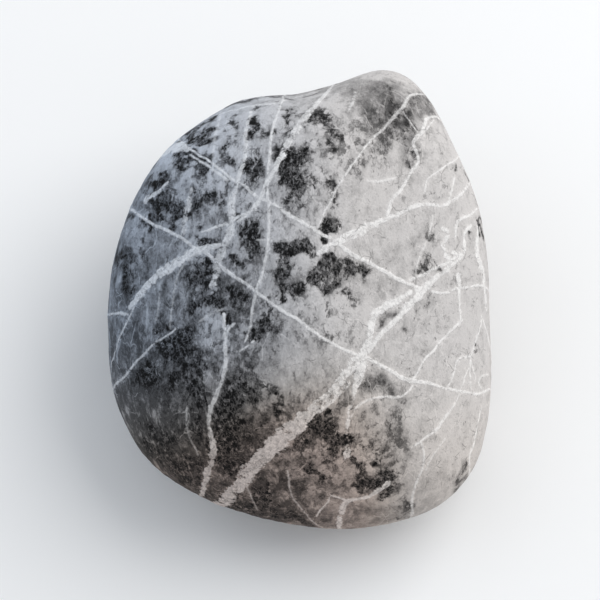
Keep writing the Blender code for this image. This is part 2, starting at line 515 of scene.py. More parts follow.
LIGHT_SPOTS = (
    Spot((-21, 25), (2.4, 2.2), 0.7, 35),
    Spot((-26.6, 11), (2.6, 3.6), 0.24, 20),
    Spot((-13.4, 23), (2.4, 4), 0.14),
    Spot((-13.6, -5), (2.2, 2.8), 0.42),
    Spot((5, 32.2), (2.8, 1.6), 0.4),
    Spot((7.6, 27.4), (2, 1.2), 0.25, 35),
    Spot((-9.6, 17), (1.8, 6), 0.26),
    Spot((2.6, -5), (5, 6), 0.14),
    Spot((8, -3), (4, 3), 0.12),
    Spot((-2, -13), (4, 4), 0.14),
    Spot((8, -24), (3, 2), 0.16),
    Spot((13, 31.8), (5, 4.7), -0.7),
    # painted highlight along the top rim at the peak
    Spot((14, 37.4), (6, 1.2), 0.3),
    # painted shade: the darker strip along the crease at the top
    Spot((2, 35.5), (8, 1.6), -0.25, 6),
    # painted shade along the bottom rim, where the stone turns under
    Spot((-11, -33), (13, 5), -0.5),
    Spot((-17, 25), (9, 8), 0.12),
    Spot((2, -13), (9, 4), -0.1),
    Spot((-10, -24), (10, 8), -0.16),
    Spot((17.4, 28.8), (2.9, 2.4), -0.5),
    Spot((20.2, 32), (2.6, 2.2), -0.6, -25),
    Spot((17.6, 24), (2.2, 2.8), -0.4),
    Spot((13.2, -13.9), (4.2, 1.9), -0.46, -8),
    Spot((15.6, -22), (2.8, 3.2), -0.3),
    Spot((26.7, -29.6), (1.8, 2.6), -0.3, -35),
    Spot((14.2, -3.4), (2.6, 1), -0.5, 42),
    Spot((7, 4.2), (3.6, 2.8), -0.28, 20),
    # painted shade along the bottom rim
    Spot((4, -35.6), (13, 2), -0.22),
    Spot((15, -26), (6, 7), 0.12),
    # painted shade at the lower-left corner
    Spot((-24, -25), (8, 8), -0.2, -45),
    Spot((-27, -16), (4, 12), -0.08),
)

# --------------------------------------------------------------------------------------------
# The run of the veins over the stone
# --------------------------------------------------------------------------------------------


class VeinLayer(Enum):
    """The sets that the veins are shared out over, so that close neighbours don't run together."""

    FIRST = "first"
    SECOND = "second"
    THIRD = "third"
    FOURTH = "fourth"


@dataclass
class VeinRun:
    """The veins of one layer as close-set points on the stone, each with its shape there."""

    places: list[Vector]
    shapes: list[tuple[float, float, float]]

    def crowding(self, places: Sequence[Vector], reach: float) -> int:
        """Counts the places that come near this run.

        Args:
            places: the points of another stretch of vein.
            reach: in millimetres.

        Returns:
            How many of them come that near.
        """
        if not self.places:
            return 0
        tree = self._tree()
        return sum(tree.find(place)[2] < reach * MM for place in places)

    def _tree(self) -> KDTree:
        """The points of the run, ready to be searched.

        Returns:
            A search tree of them.
        """
        tree = KDTree(len(self.places))
        for index, place in enumerate(self.places):
            tree.insert(place, index)
        tree.balance()
        return tree

    def nearest(self, points: np.ndarray) -> tuple[np.ndarray, np.ndarray]:
        """Finds the nearest vein point of each given point.

        Args:
            points: places on the stone in metres, one a row.

        Returns:
            The way to the vein in millimetres, and the vein's half-width, raggedness and
            faintness there, one row for each point.
        """
        tree = self._tree()
        found = [tree.find(point)[1] for point in points]
        places = np.array([list(place) for place in self.places])[found]
        return (places - points) / MM, np.array(self.shapes)[found]


@dataclass(frozen=True)
class VeinTracer:
    """Draws the veins on the skin of the stone."""

    chart: FaceChart
    skin: BVHTree
    step: float = 0.12  # millimetres between the points of a vein
    wander: float = 0.22  # how far a vein strays from its smooth line, in millimetres
    wander_size: float = 2.6  # the length of one stray, in millimetres
    fine_wander: float = 0.4  # the share of the wander that is added again, finer
    fine_wander_rate: float = 1.3  # fine strays in a millimetre
    neighbour_reach: float = 1.6  # veins nearer than this, in millimetres, go in different layers
    slim: float = 0.8  # how much a fine vein is narrowed
    turn_rate: float = 0.022  # radians that a vein may turn in one step where it runs on
    bend_size: float = 3.0  # the length of one bend where it runs on, in millimetres
    bend_apart: float = 9.7  # keeps the bends of one vein unlike those of the next
    taper: tuple[float, ...] = (1.0, 0.8, 0.35)  # the shares of its width as it dies out
    stray_widths: tuple[float, ...] = (0.3, 0.35, 0.4, 0.5, 0.7, 1.1, 1.5)
    stray_ragged: Span = (0.15, 0.6)
    stray_faint: Span = (0, 0.35)
    stray_length: Span = (9, 24)
    stray_bends: int = 40  # where the strays' own bends begin

    def trace(self, veins: Iterable[Vein]) -> dict[VeinLayer, VeinRun]:
        """Traces all the veins, each with what it runs on to past its ends.

        Args:
            veins: the veins as laid out.

        Returns:
            The points of the veins, by layer.
        """
        runs = {layer: VeinRun([], []) for layer in VeinLayer}
        for index, vein in enumerate(veins):
            face = self._on_face(vein)
            if len(face) < 2:
                continue
            run = self._least_crowded(runs, face)
            self._keep(run, face, vein, vein.widths)
            if vein.before:
                rest = self._run_on(face[0], face[0] - face[1], vein.before, index)
                self._keep(run, rest, vein, self._dying(vein.widths[0]))
            if vein.after:
                rest = self._run_on(face[-1], face[-1] - face[-2], vein.after, index + 0.5)
                self._keep(run, rest, vein, self._dying(vein.widths[-1]))
        return runs

    def add_strays(self, runs: dict[VeinLayer, VeinRun], count: int, seed: int) -> None:
        """Adds veins round the back and underneath, where none is laid out.

        Args:
            runs: the veins so far, by layer.
            count: how many are added.
            seed: the start of the random draws.
        """
        draw = random.Random(seed)
        for index in range(count):
            outward = Vector((draw.uniform(-1, 1), draw.uniform(-0.4, 1), draw.uniform(-1, -0.15)))
            start = self.skin.find_nearest(self.chart.middle + outward.normalized() * OUTSIDE)[0]
            heading = Vector((draw.uniform(-1, 1), draw.uniform(-1, 1), draw.uniform(-0.5, 0.5)))
            width = draw.choice(self.stray_widths)
            ragged = draw.uniform(*self.stray_ragged)
            vein = Vein((), (width,), ragged, draw.uniform(*self.stray_faint))
            for way in (heading, -heading):
                length = draw.uniform(*self.stray_length)
                stretch = self._run_on(start, way, length, self.stray_bends + index)
                run = self._least_crowded(runs, stretch)
                self._keep(run, stretch, vein, self._dying(width))

    def _least_crowded(self, runs: dict[VeinLayer, VeinRun], places: Sequence[Vector]) -> VeinRun:
        """The run that a new stretch comes near the fewest points of."""
        return min(runs.values(), key=lambda run: run.crowding(places, self.neighbour_reach))

    def _dying(self, width: float) -> tuple[float, ...]:
        """The widths along a stretch that dies out."""
        return tuple(width * share for share in self.taper)

    def _smooth_path(self, path: Sequence[Point]) -> list[Point]:
        """Runs a smooth curve through the points of a path and sets points close along it.

        Args:
            path: places on the sheet, in millimetres.

        Returns:
            Places a step apart along the curve.
        """
        ends = [path[0], *path, path[-1]]
        places = []
        for before, start, end, after in zip(ends, ends[1:], ends[2:], ends[3:]):
            steps = max(2, round(math.dist(start, end) / self.step))
            for share in np.arange(steps) / steps:
                places.append(self._curve_point(before, start, end, after, float(share)))
        return [*places, path[-1]]

    @staticmethod
    def _curve_point(before: Point, start: Point, end: Point, after: Point, share: float) -> Point:
        """One point of the curve from start to end that also heeds the points either side.

        Args:
            before: the corner ahead of the start.
            start: the corner that the curve leaves.
            end: the corner that it goes to.
            after: the corner past the end.
            share: how far along it is, from 0 to 1.

        Returns:
            The point's place across and up.
        """
        square, cube = share * share, share**3
        weights = (
            (2 * square - share - cube) / 2,
            (2 - 5 * square + 3 * cube) / 2,
            (share + 4 * square - 3 * cube) / 2,
            (cube - square) / 2,
        )
        corners = (before, start, end, after)
        across = sum(weight * corner[0] for weight, corner in zip(weights, corners))
        up = sum(weight * corner[1] for weight, corner in zip(weights, corners))
        return across, up

    def _on_face(self, vein: Vein) -> list[Vector]:
        """The points of a vein on the broad face, with its small wandering.

        Args:
            vein: the vein as laid out.

        Returns:
            Its points on the skin. Those off the stone are left out.
        """
        places = []
        for across, up in self._smooth_path(vein.path):
            stray = noise.noise_vector(Vector((across, up, 0)) / self.wander_size) * self.wander
            fine = noise.noise_vector(Vector((across, up, 7)) * self.fine_wander_rate)
            stray += fine * self.wander * self.fine_wander
            hit = self.chart.cast(self.skin, across + stray.x, up + stray.y)
            if hit is not None:
                places.append(hit)
        return places

    def _run_on(self, start: Vector, heading: Vector, length: float, seed: float) -> list[Vector]:
        """Walks over the skin from a point, turning a little as it goes.

        Args:
            start: where the walk begins.
            heading: the way that it sets out.
            length: how far it goes, in millimetres.
            seed: tells one walk's turns from another's.

        Returns:
            The points of the walk.
        """
        place, normal, _, _ = self.skin.find_nearest(start)
        way = heading.normalized()
        places = []
        for index in range(round(length / self.step)):
            way = (way - normal * way.dot(normal)).normalized()
            along = index * self.step / self.bend_size
            bend = noise.noise(Vector((along, seed * self.bend_apart, 0.5)))
            way = Matrix.Rotation(bend * self.turn_rate, 3, normal) @ way
            place, normal, _, _ = self.skin.find_nearest(place + way * self.step * MM)
            places.append(place)
        return places

    def _keep(self, run: VeinRun, places: list[Vector], vein: Vein, widths: Sequence[float]) -> None:
        """Adds a stretch to a run, with the vein's shape at each point.

        Args:
            run: what it is added to.
            places: the points of the stretch.
            vein: the vein that it is part of.
            widths: in millimetres, read evenly along the stretch.
        """
        widths = [width * self.slim if width < 1 else width for width in widths]
        along = np.linspace(0, len(widths) - 1, len(places))
        for place, width in zip(places, np.interp(along, range(len(widths)), widths)):
            run.places.append(place)
            run.shapes.append((width / 2, vein.ragged, vein.faint))


# --------------------------------------------------------------------------------------------
# The stone
# --------------------------------------------------------------------------------------------


def select_only(piece: bpy.types.Object) -> None:
    """Makes one piece the active one and the only one selected.

    Args:
        piece: the piece.
    """
    bpy.ops.object.select_all(action="DESELECT")
    piece.select_set(True)
    bpy.context.view_layer.objects.active = piece


def skin_of(piece: bpy.types.Object) -> BVHTree:
    """The surface of a finished mesh, to measure against.

    Args:
        piece: the mesh's piece.

    Returns:
        A search tree of its faces.
    """
    mesh = piece.data
    places = [vertex.co.copy() for vertex in mesh.vertices]
    return BVHTree.FromPolygons(places, [tuple(face.vertices) for face in mesh.polygons])


def smooth_step(value: np.ndarray, low: float, high: float) -> np.ndarray:
    """Goes from 0 at low to 1 at high, with soft ends."""
    share = np.clip((value - low) / (high - low), 0, 1)
    return share * share * (3 - 2 * share)


@dataclass(frozen=True)
class Markings:
    """How dark, pale and brown the stone is over its skin, with painted shade, a painted highlight and
    painted cool light among them. Sizes in millimetres.

    A span is where a change begins and ends. A pair of levels is the least value, and how much
    is added to it by the end of the change.
    """

    chart: FaceChart
    seed: int
    spot_stray: tuple[Point, ...] = ((3.2, 2.4), (1.2, 1.1))  # size and reach of each stray
    spot_fall: float = 0.8  # how quickly a spot fades towards its rim
    face_side: Span = (-6, -1)  # over which the spots of the broad face come in, from behind it
    hidden_spots: int = 60
    hidden_sizes: tuple[Span, ...] = ((1, 4), (1.5, 7), (1, 4))
    hidden_strength: Span = (0.2, 0.85)
    hidden_side: Span = (-2, 4)  # over which the hidden spots come in, going back
    shade_tilt: float = 0.62  # how much it pales going up, for what it pales going right; this slope is partly the stone's own tone and partly painted shade falling away from the light at the upper right
    shade_slope: Span = (-42, 14)
    tone_and_shade_levels: Span = (0.12, 0.79)
    right_edge: Span = (14, 27)
    right_rim_highlight: float = 0.08  # how much paler the right edge is: a painted highlight where the light from the right falls
    # the bluish cast to the left is partly the stone's own colour and partly painted cool light
    cool_cast_across: Span = (-34, 12)
    warmth_levels: Span = (0.02, 0.56)
    earthy_below: Span = (4, 36)  # going down from the middle
    earthy_left: Span = (-20, 8)  # going left from the middle
    earthy_levels: Span = (0.1, 0.8)
    rear_side: Span = (-3, 10)  # over which the tone of the back comes in
    rear_across: Span = (-30, 26)
    rear_levels: Span = (0.32, 0.36)
    rear_warm_side: Span = (-3, 12)
    rear_warmth: float = 0.08  # how much warmer the back is

    def darkness(self, face: np.ndarray, skin: BVHTree) -> np.ndarray:
        """How dense the dark mineral is at each point, from 0 to 1.

        Args:
            face: the points as the chart measures them.
            skin: the surface of the stone.

        Returns:
            A value for each point.
        """
        clear = np.ones(len(face))
        face = self._stray(face)
        for spot in DARK_SPOTS:
            clear *= 1 - spot.strength * self._oval(face, spot)
        draw = random.Random(self.seed)
        hidden = smooth_step(-face[:, 2], *self.hidden_side)
        for _ in range(self.hidden_spots):
            way = Vector((draw.uniform(-1, 1), draw.uniform(-1, 1), draw.uniform(-1, 0)))
            centre = skin.find_nearest(self.chart.middle + way.normalized() * OUTSIDE)[0]
            at = self.chart.measure(np.array([list(centre)]))[0]
            sizes = np.array([draw.uniform(*span) for span in self.hidden_sizes])
            spread = (((face - at) / sizes) ** 2).sum(1)
            strength = draw.uniform(*self.hidden_strength)
            clear *= 1 - strength * np.exp(-(spread**1.3) * self.spot_fall) * hidden
        return 1 - clear

    def tone(self, face: np.ndarray) -> np.ndarray:
        """How pale the body of the stone is at each point: darker to the left and underneath, partly its
        own tone and partly painted shade away from the light at the upper right, with a painted highlight
        along the right rim.

        Args:
            face: the points as the chart measures them.

        Returns:
            A value from 0 to 1 for each point.
        """
        # painted shade: the stone pales towards the light at the upper right and darkens to the lower
        # left and underneath
        slope = face[:, 0] + self.shade_tilt * face[:, 1]
        tone = self.tone_and_shade_levels[0] + self.tone_and_shade_levels[1] * smooth_step(slope, *self.shade_slope)
        # painted highlight along the right rim
        tone += self.right_rim_highlight * smooth_step(face[:, 0], *self.right_edge)
        strayed = self._stray(face)
        for spot in LIGHT_SPOTS:
            tone += spot.strength * self._oval(strayed, spot)
        behind = smooth_step(-face[:, 2], *self.rear_side)
        rear = self.rear_levels[0]
        rear += self.rear_levels[1] * smooth_step(face[:, 0], *self.rear_across)
        return np.clip(tone * (1 - behind) + rear * behind, 0, 1)

    def warmth(self, face: np.ndarray) -> np.ndarray:
        """How brown the stone is at each point, from bluish at 0 to earthy at 1; the bluish cast to the
        left is partly its own colour and partly painted cool light.

        Args:
            face: the points as the chart measures them.

        Returns:
            A value for each point.
        """
        # partly painted cool light: bluish to the left, warmer going right
        across = self.warmth_levels[0]
        across += self.warmth_levels[1] * smooth_step(face[:, 0], *self.cool_cast_across)
        earthy = self.earthy_levels[0]
        earthy += self.earthy_levels[1] * smooth_step(-face[:, 0], *self.earthy_left)
        warmth = across + smooth_step(-face[:, 1], *self.earthy_below) * earthy
        behind = smooth_step(-face[:, 2], *self.rear_warm_side)
        return np.clip(warmth * (1 - behind) + (across + self.rear_warmth) * behind, 0, 1)

    def _stray(self, face: np.ndarray) -> np.ndarray:
        """Shifts places by cloudy amounts, so that the spots laid out there get uneven edges.

        Args:
            face: the points as the chart measures them.

        Returns:
            The shifted points.
        """
        strayed = face.copy()
        for size, reach in self.spot_stray:
            strayed += [list(noise.noise_vector(Vector(place) / size) * reach) for place in face]
        return strayed

    def _oval(self, face: np.ndarray, spot: Spot) -> np.ndarray:
        """The share of a spot at each point, 1 at its middle, on the broad side only.

        Args:
            face: the points as the chart measures them.
            spot: the spot.

        Returns:
            A value for each point.
        """
        turn = math.radians(spot.turn)
        across, up = face[:, 0] - spot.at[0], face[:, 1] - spot.at[1]
        along = across * math.cos(turn) + up * math.sin(turn)
        aside = up * math.cos(turn) - across * math.sin(turn)
        spread = (along / spot.size[0]) ** 2 + (aside / spot.size[1]) ** 2
        return np.exp(-(spread**2) * self.spot_fall) * smooth_step(face[:, 2], *self.face_side)


@dataclass
class Pebble:
    """The whole stone: one closed skin over the CAD solid, worn and pitted. Sizes in millimetres."""

    chart: FaceChart
    cells: int = 101  # faces along each side of the starting block
    blank_radius: float = 60.0
    merge_distance: float = 0.001
    rounding_levels: int = 2
    easing: float = 0.5
    smooth_rounds: int = 16
    rim_depth: float = 14.0  # how far above and below its middle level the rim is trimmed
    stray_veins: int = 13
    vein_edge: float = 0.5  # the width over which a proud vein rises
    faint_relief: float = 0.7  # how much lower a wholly faint vein stands
    swell_height: float = 0.45
    swell_size: float = 9.0
    wear_height: float = 0.13
    wear_size: float = 2.2
    grain_height: float = 0.05
    grain_size: float = 0.8
    patch_depth: float = 0.5
    patch_grain: float = 1.1
    vein_height: float = 0.09
    pit_depth: float = 0.22
    pit_spacing: float = 5.0
    pit_radii: Span = (0.05, 0.21)  # the least and the greatest, as a share of their spacing
    least_pit: float = 0.09  # a pit smaller than this, as a share of the spacing, is left out
    wide_pit: float = 0.2  # a pit of this radius has the full depth
    weight_steps: int = 20
    seed: int = 11

    def build(self, finish: "StoneFinish") -> bpy.types.Object:
        """Models, marks and dresses the stone.

        Args:
            finish: the look of its surface.

        Returns:
            The finished piece.
        """
        target = self._smooth_target()
        stone = self._blank()
        self._wrap(stone, target)
        bpy.data.objects.remove(target)
        self._trim(stone)
        self._mark(stone)
        self._wear(stone)
        self._settle(stone)
        stone.data.materials.append(finish.material())
        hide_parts(CAD_NODE)
        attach(stone, BODY)
        return stone

    def _smooth_target(self) -> bpy.types.Object:
        """A merged and rounded-out copy of the CAD solid, for the skin to be drawn over.

        Returns:
            The copy.
        """
        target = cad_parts[CAD_NODE].copy()
        target.data = target.data.copy()
        target.parent = None
        bpy.context.scene.collection.objects.link(target)
        select_only(target)
        bpy.ops.object.mode_set(mode="EDIT")
        bpy.ops.mesh.select_all(action="SELECT")
        bpy.ops.mesh.remove_doubles(threshold=self.merge_distance * MM)
        bpy.ops.mesh.tris_convert_to_quads()
        bpy.ops.object.mode_set(mode="OBJECT")
        rounding = target.modifiers.new("rounding", "SUBSURF")
        rounding.levels = self.rounding_levels
        rounding.render_levels = self.rounding_levels
        bpy.ops.object.modifier_apply(modifier=rounding.name)
        return target

    def _blank(self) -> bpy.types.Object:
        """A finely divided block blown up into a ball, well outside the stone.

        Returns:
            The new piece.
        """
        bpy.ops.object.select_all(action="DESELECT")
        bpy.ops.mesh.primitive_cube_add(size=2 * self.blank_radius * MM, location=self.chart.middle)
        stone = bpy.context.active_object
        stone.name = "veined_pebble"
        bpy.ops.object.mode_set(mode="EDIT")
        bpy.ops.mesh.select_all(action="SELECT")
        bpy.ops.mesh.subdivide(number_cuts=self.cells - 1)
        bpy.ops.object.mode_set(mode="OBJECT")
        places = self._places(stone) / (self.blank_radius * MM)
        evened = np.tan(places * math.pi / 4)
        evened /= np.linalg.norm(evened, axis=1, keepdims=True)
        self._move(stone, evened * self.blank_radius * MM)
        return stone

    def _trim(self, stone: bpy.types.Object) -> None:
        """Draws the rim of the broad face in and out a little, to its true outline.

        Args:
            stone: the piece.
        """
        places = self._places(stone)
        face = self.chart.measure(places)
        bearing = np.degrees(np.arctan2(face[:, 1], face[:, 0]))
        push = np.zeros(len(places))
        for trim in RIM_TRIMS:
            away = (bearing - trim.bearing + 180) % 360 - 180
            push += trim.height * np.exp(-((away / trim.spread) ** 2))
        push *= np.exp(-((face[:, 2] / self.rim_depth) ** 2))
        right, up, _ = (np.array(axis) for axis in self.chart.axes())
        angle = np.radians(bearing)
        outward = np.cos(angle)[:, None] * right + np.sin(angle)[:, None] * up
        self._move(stone, places + outward * push[:, None] * MM)

    def _wrap(self, stone: bpy.types.Object, target: bpy.types.Object) -> None:
        """Draws the blank in onto the target and eases the facets out of it.

        Args:
            stone: the blank.
            target: the form that it is drawn onto.
        """
        select_only(stone)
        wrap = stone.modifiers.new("wrap", "SHRINKWRAP")
        wrap.target = target
        wrap.wrap_method = "PROJECT"
        wrap.use_negative_direction = True
        wrap.use_positive_direction = False
        easing = stone.modifiers.new("easing", "SMOOTH")
        easing.factor = self.easing
        easing.iterations = self.smooth_rounds
        for modifier in (wrap, easing):
            bpy.ops.object.modifier_apply(modifier=modifier.name)
        bpy.ops.object.transform_apply(location=True, rotation=True, scale=True)

    def _mark(self, stone: bpy.types.Object) -> None:
        """Stores where the veins, dark patches and clouds are, for the finish and the wear.

        Args:
            stone: the piece, before its wear.
        """
        skin = skin_of(stone)
        places = self._places(stone)
        tracer = VeinTracer(self.chart, skin)
        drawn = tracer.trace(
            TRUNK_VEINS + DIAGONAL_VEINS + UPPER_VEINS + RIGHT_VEINS + LOWER_VEINS + LEFT_VEINS
        )
        tracer.add_strays(drawn, self.stray_veins, self.seed)
        cover = np.zeros(len(places))
        for layer, run in drawn.items():
            ways, shapes = run.nearest(places)
            gap = np.linalg.norm(ways, axis=1)
            self._store(stone, f"{layer.value}_way", ways)
            self._store(stone, f"{layer.value}_shape", shapes)
            self._store(stone, f"{layer.value}_gap", gap)
            half, faint = shapes[:, 0], shapes[:, 2]
            inside = smooth_step(half + self.vein_edge / 2 - gap, 0, self.vein_edge)
            cover = np.maximum(cover, inside * (1 - self.faint_relief * faint))
            log.info("%s veins: %d points", layer.value, len(run.places))
        face = self.chart.measure(places)
        markings = Markings(self.chart, self.seed + 1)
        dark = markings.darkness(face, skin)
        self._store(stone, "darkness", dark)
        # tone carries painted shade to the lower left and a painted highlight on the right rim; warmth
        # carries a cool cast that is partly painted cool light
        self._store(stone, "tone", markings.tone(face))
        self._store(stone, "warmth", markings.warmth(face))
        self._group(stone, "veins", cover)
        self._group(stone, "patches", dark * (1 - cover))

    def _wear(self, stone: bpy.types.Object) -> None:
        """Gives the skin its swells, fine wear, rough patches, proud veins and pits.

        Args:
            stone: the marked piece.
        """
        select_only(stone)
        self._displace(stone, "swells", self.swell_height, self.swell_size, depth=1)
        self._displace(stone, "wear", self.wear_height, self.wear_size, depth=3)
        self._displace(stone, "grain", self.grain_height, self.grain_size, depth=2)
        self._displace(
            stone, "patch", self.patch_depth, self.patch_grain, depth=3, group="patches", middle=0.75
        )
        proud = stone.modifiers.new("proud", "DISPLACE")
        proud.strength = self.vein_height * MM
        proud.mid_level = 0
        proud.vertex_group = "veins"
        bpy.ops.object.modifier_apply(modifier=proud.name)
        self._pits(stone)

    def _displace(
        self,
        stone: bpy.types.Object,
        name: str,
        height: float,
        size: float,
        depth: int,
        group: str = "",
        middle: float = 0.5,
    ) -> None:
        """Pushes the skin in and out with a cloudy pattern.

        Args:
            stone: the piece.
            name: the name of the effect.
            height: from its lowest to its highest, in millimetres.
            size: of the pattern, in millimetres.
            depth: how many times finer detail is added.
            group: the vertex group that it keeps to.
            middle: the level of the pattern that leaves the skin where it is.
        """
        pattern = bpy.data.textures.new(name, "CLOUDS")
        pattern.noise_scale = size * MM
        pattern.noise_depth = depth
        push = stone.modifiers.new(name, "DISPLACE")
        push.texture = pattern
        push.texture_coords = "LOCAL"
        push.strength = height * MM
        push.mid_level = middle
        push.vertex_group = group
        bpy.ops.object.modifier_apply(modifier=push.name)

    def _pits(self, stone: bpy.types.Object) -> None:
        """Sinks small round pits in the skin where stones have knocked together.

        Args:
            stone: the piece.
        """
        places = self._places(stone)
        normals = np.zeros(len(places) * 3)
        stone.data.vertices.foreach_get("normal", normals)
        depths = np.zeros(len(places))
        for index, place in enumerate(places):
            gaps, centres = noise.voronoi(Vector(place) / (self.pit_spacing * MM))
            least, greatest = self.pit_radii
            radius = least + (greatest - least) * noise.cell(centres[0] * 5)
            if radius > self.least_pit and gaps[0] < radius:
                depths[index] = (1 - (gaps[0] / radius) ** 2) * radius / self.wide_pit
        self._move(stone, places - normals.reshape(-1, 3) * depths[:, None] * self.pit_depth * MM)

    def _settle(self, stone: bpy.types.Object) -> None:
        """Keeps the flat level on the floor, and the shading smooth.

        Args:
            stone: the worn piece.
        """
        places = self._places(stone)
        places[:, 2] = np.maximum(places[:, 2], 0)
        self._move(stone, places)
        select_only(stone)
        bpy.ops.object.shade_smooth()

    @staticmethod
    def _places(stone: bpy.types.Object) -> np.ndarray:
        """The places of a piece's vertices, one a row.

        Args:
            stone: the piece.

        Returns:
            The places, in metres.
        """
        places = np.zeros(len(stone.data.vertices) * 3)
        stone.data.vertices.foreach_get("co", places)
        return places.reshape(-1, 3)

    @staticmethod
    def _move(stone: bpy.types.Object, places: np.ndarray) -> None:
        """Puts a piece's vertices in new places."""
        stone.data.vertices.foreach_set("co", places.astype(np.float32).ravel())
        stone.data.update()

    @staticmethod
    def _store(stone: bpy.types.Object, name: str, values: np.ndarray) -> None:
        """Keeps a number or a vector for each vertex, as an attribute.

        Args:
            stone: the piece.
            name: the name of the attribute.
            values: a number or a row for each vertex.
        """
        kind, field = ("FLOAT", "value") if values.ndim == 1 else ("FLOAT_VECTOR", "vector")
        attribute = stone.data.attributes.new(name, kind, "POINT")
        attribute.data.foreach_set(field, values.astype(np.float32).ravel())

    def _group(self, stone: bpy.types.Object, name: str, weights: np.ndarray) -> None:
        """Keeps a weight for each vertex, as a vertex group.

        Args:
            stone: the piece.
            name: the name of the group.
            weights: a number from 0 to 1 for each vertex.
        """
        group = stone.vertex_groups.new(name=name)
        levels = np.round(np.clip(weights, 0, 1) * self.weight_steps).astype(int)
        for level in range(1, self.weight_steps + 1):
            members = np.nonzero(levels == level)[0]
            if len(members):
                group.add(members.tolist(), level / self.weight_steps, "REPLACE")


# --------------------------------------------------------------------------------------------
# Finishes
# --------------------------------------------------------------------------------------------


@dataclass(frozen=True)
class Clouds:
    """A cloudy pattern: how many clouds to a millimetre, and how they are broken up.

    rounds is how many times finer clouds are added, roughness how strong those are, and swirl
    how far the pattern is drawn about.
    """

    count: Feed
    rounds: float = 2.0
    roughness: float = 0.5
    swirl: float = 0.0


@dataclass(frozen=True)
class ShaderGraph:
    """Short hand for laying and joining the nodes of one tree."""

    tree: bpy.types.NodeTree

    def add(self, kind: str, **settings: object) -> bpy.types.Node:
        """Adds a node and sets its options.

        Args:
            kind: the node's type.
            **settings: its options by name.

        Returns:
            The node.
        """
        node = self.tree.nodes.new(kind)
        for name, value in settings.items():
            setattr(node, name, value)
        return node

    def feed(self, socket: bpy.types.NodeSocket, value: Feed) -> None:
        """Joins a socket to another one, or gives it a plain value.

        Args:
            socket: the input.
            value: an output socket, a number or a colour.
        """
        if isinstance(value, bpy.types.NodeSocket):
            self.tree.links.new(value, socket)
        else:
            socket.default_value = value

    def read(self, name: str, output: str) -> bpy.types.NodeSocket:
        """One of the piece's own attributes."""
        return self.add("ShaderNodeAttribute", attribute_name=name).outputs[output]

    def math(self, operation: str, *values: Feed, clamp: bool = False) -> bpy.types.NodeSocket:
        """Works out one number from up to three.

        Args:
            operation: the sum that is done.
            *values: its numbers, in order.
            clamp: keeps the result from 0 to 1.

        Returns:
            The result.
        """
        node = self.add("ShaderNodeMath", operation=operation, use_clamp=clamp)
        for socket, value in zip(node.inputs, values):
            self.feed(socket, value)
        return node.outputs[0]

    def noise(self, place: Feed, clouds: Clouds) -> bpy.types.NodeSocket:
        """A cloudy pattern from 0 to 1.

        Args:
            place: where it is read.
            clouds: the make-up of the pattern.

        Returns:
            The pattern's value.
        """
        node = self.add("ShaderNodeTexNoise")
        self.feed(node.inputs["Vector"], place)
        self.feed(node.inputs["Scale"], clouds.count)
        node.inputs["Detail"].default_value = clouds.rounds
        node.inputs["Roughness"].default_value = clouds.roughness
        node.inputs["Distortion"].default_value = clouds.swirl
        return node.outputs["Fac"]

    def swing(self, pattern: Feed, height: float) -> bpy.types.NodeSocket:
        """Centres a pattern that goes from 0 to 1 on nothing, and gives it a height."""
        return self.math("MULTIPLY", self.math("SUBTRACT", pattern, 0.5), height)

    def ease(
        self, value: Feed, low: Feed, high: Feed, start: float = 0.0, end: float = 1.0
    ) -> bpy.types.NodeSocket:
        """Goes smoothly from start to end while a value goes from low to high.

        Args:
            value: the value that it follows.
            low: the value where it sets off.
            high: the value where it arrives.
            start: what it is below low.
            end: what it is above high.

        Returns:
            The eased value.
        """
        node = self.add("ShaderNodeMapRange", interpolation_type="SMOOTHSTEP")
        for name, given in (
            ("Value", value),
            ("From Min", low),
            ("From Max", high),
            ("To Min", start),
            ("To Max", end),
        ):
            self.feed(node.inputs[name], given)
        return node.outputs["Result"]

    def blend(self, share: Feed, first: Feed, second: Feed, way: str = "MIX") -> bpy.types.NodeSocket:
        """Blends two colours.

        Args:
            share: how much of the second one is used, from 0 to 1.
            first: a colour.
            second: a colour.
            way: how the second one is laid on.

        Returns:
            The blended colour.
        """
        node = self.add("ShaderNodeMix", data_type="RGBA", blend_type=way)
        self.feed(node.inputs[0], share)
        self.feed(node.inputs[6], first)
        self.feed(node.inputs[7], second)
        return node.outputs[2]

    def stray(self, place: Feed, count: float, rounds: float, reach: float) -> bpy.types.NodeSocket:
        """Shifts the places that a pattern is read at by a cloudy amount.

        Args:
            place: the places.
            count: how many clouds there are to a millimetre.
            rounds: how many times finer clouds are added.
            reach: how far a place can be shifted, in millimetres.

        Returns:
            The shifted places.
        """
        clouds = self.add("ShaderNodeTexNoise")
        self.feed(clouds.inputs["Vector"], place)
        clouds.inputs["Scale"].default_value = count
        clouds.inputs["Detail"].default_value = rounds
        moved = self.add("ShaderNodeVectorMath", operation="MULTIPLY_ADD")
        self.feed(moved.inputs[0], clouds.outputs["Color"])
        moved.inputs[1].default_value = (reach, reach, reach)
        self.feed(moved.inputs[2], place)
        return moved.outputs[0]

    def stretch(self, place: Feed, scale: Sequence[float], turn: float = 0.0) -> bpy.types.NodeSocket:
        """Stretches and turns the places that a pattern is read at.

        Args:
            place: the places.
            scale: what each axis is multiplied by.
            turn: about the first axis, in radians.

        Returns:
            The new places.
        """
        node = self.add("ShaderNodeMapping")
        self.feed(node.inputs["Vector"], place)
        node.inputs["Rotation"].default_value = (turn, 0, 0)
        node.inputs["Scale"].default_value = scale
        return node.outputs["Vector"]


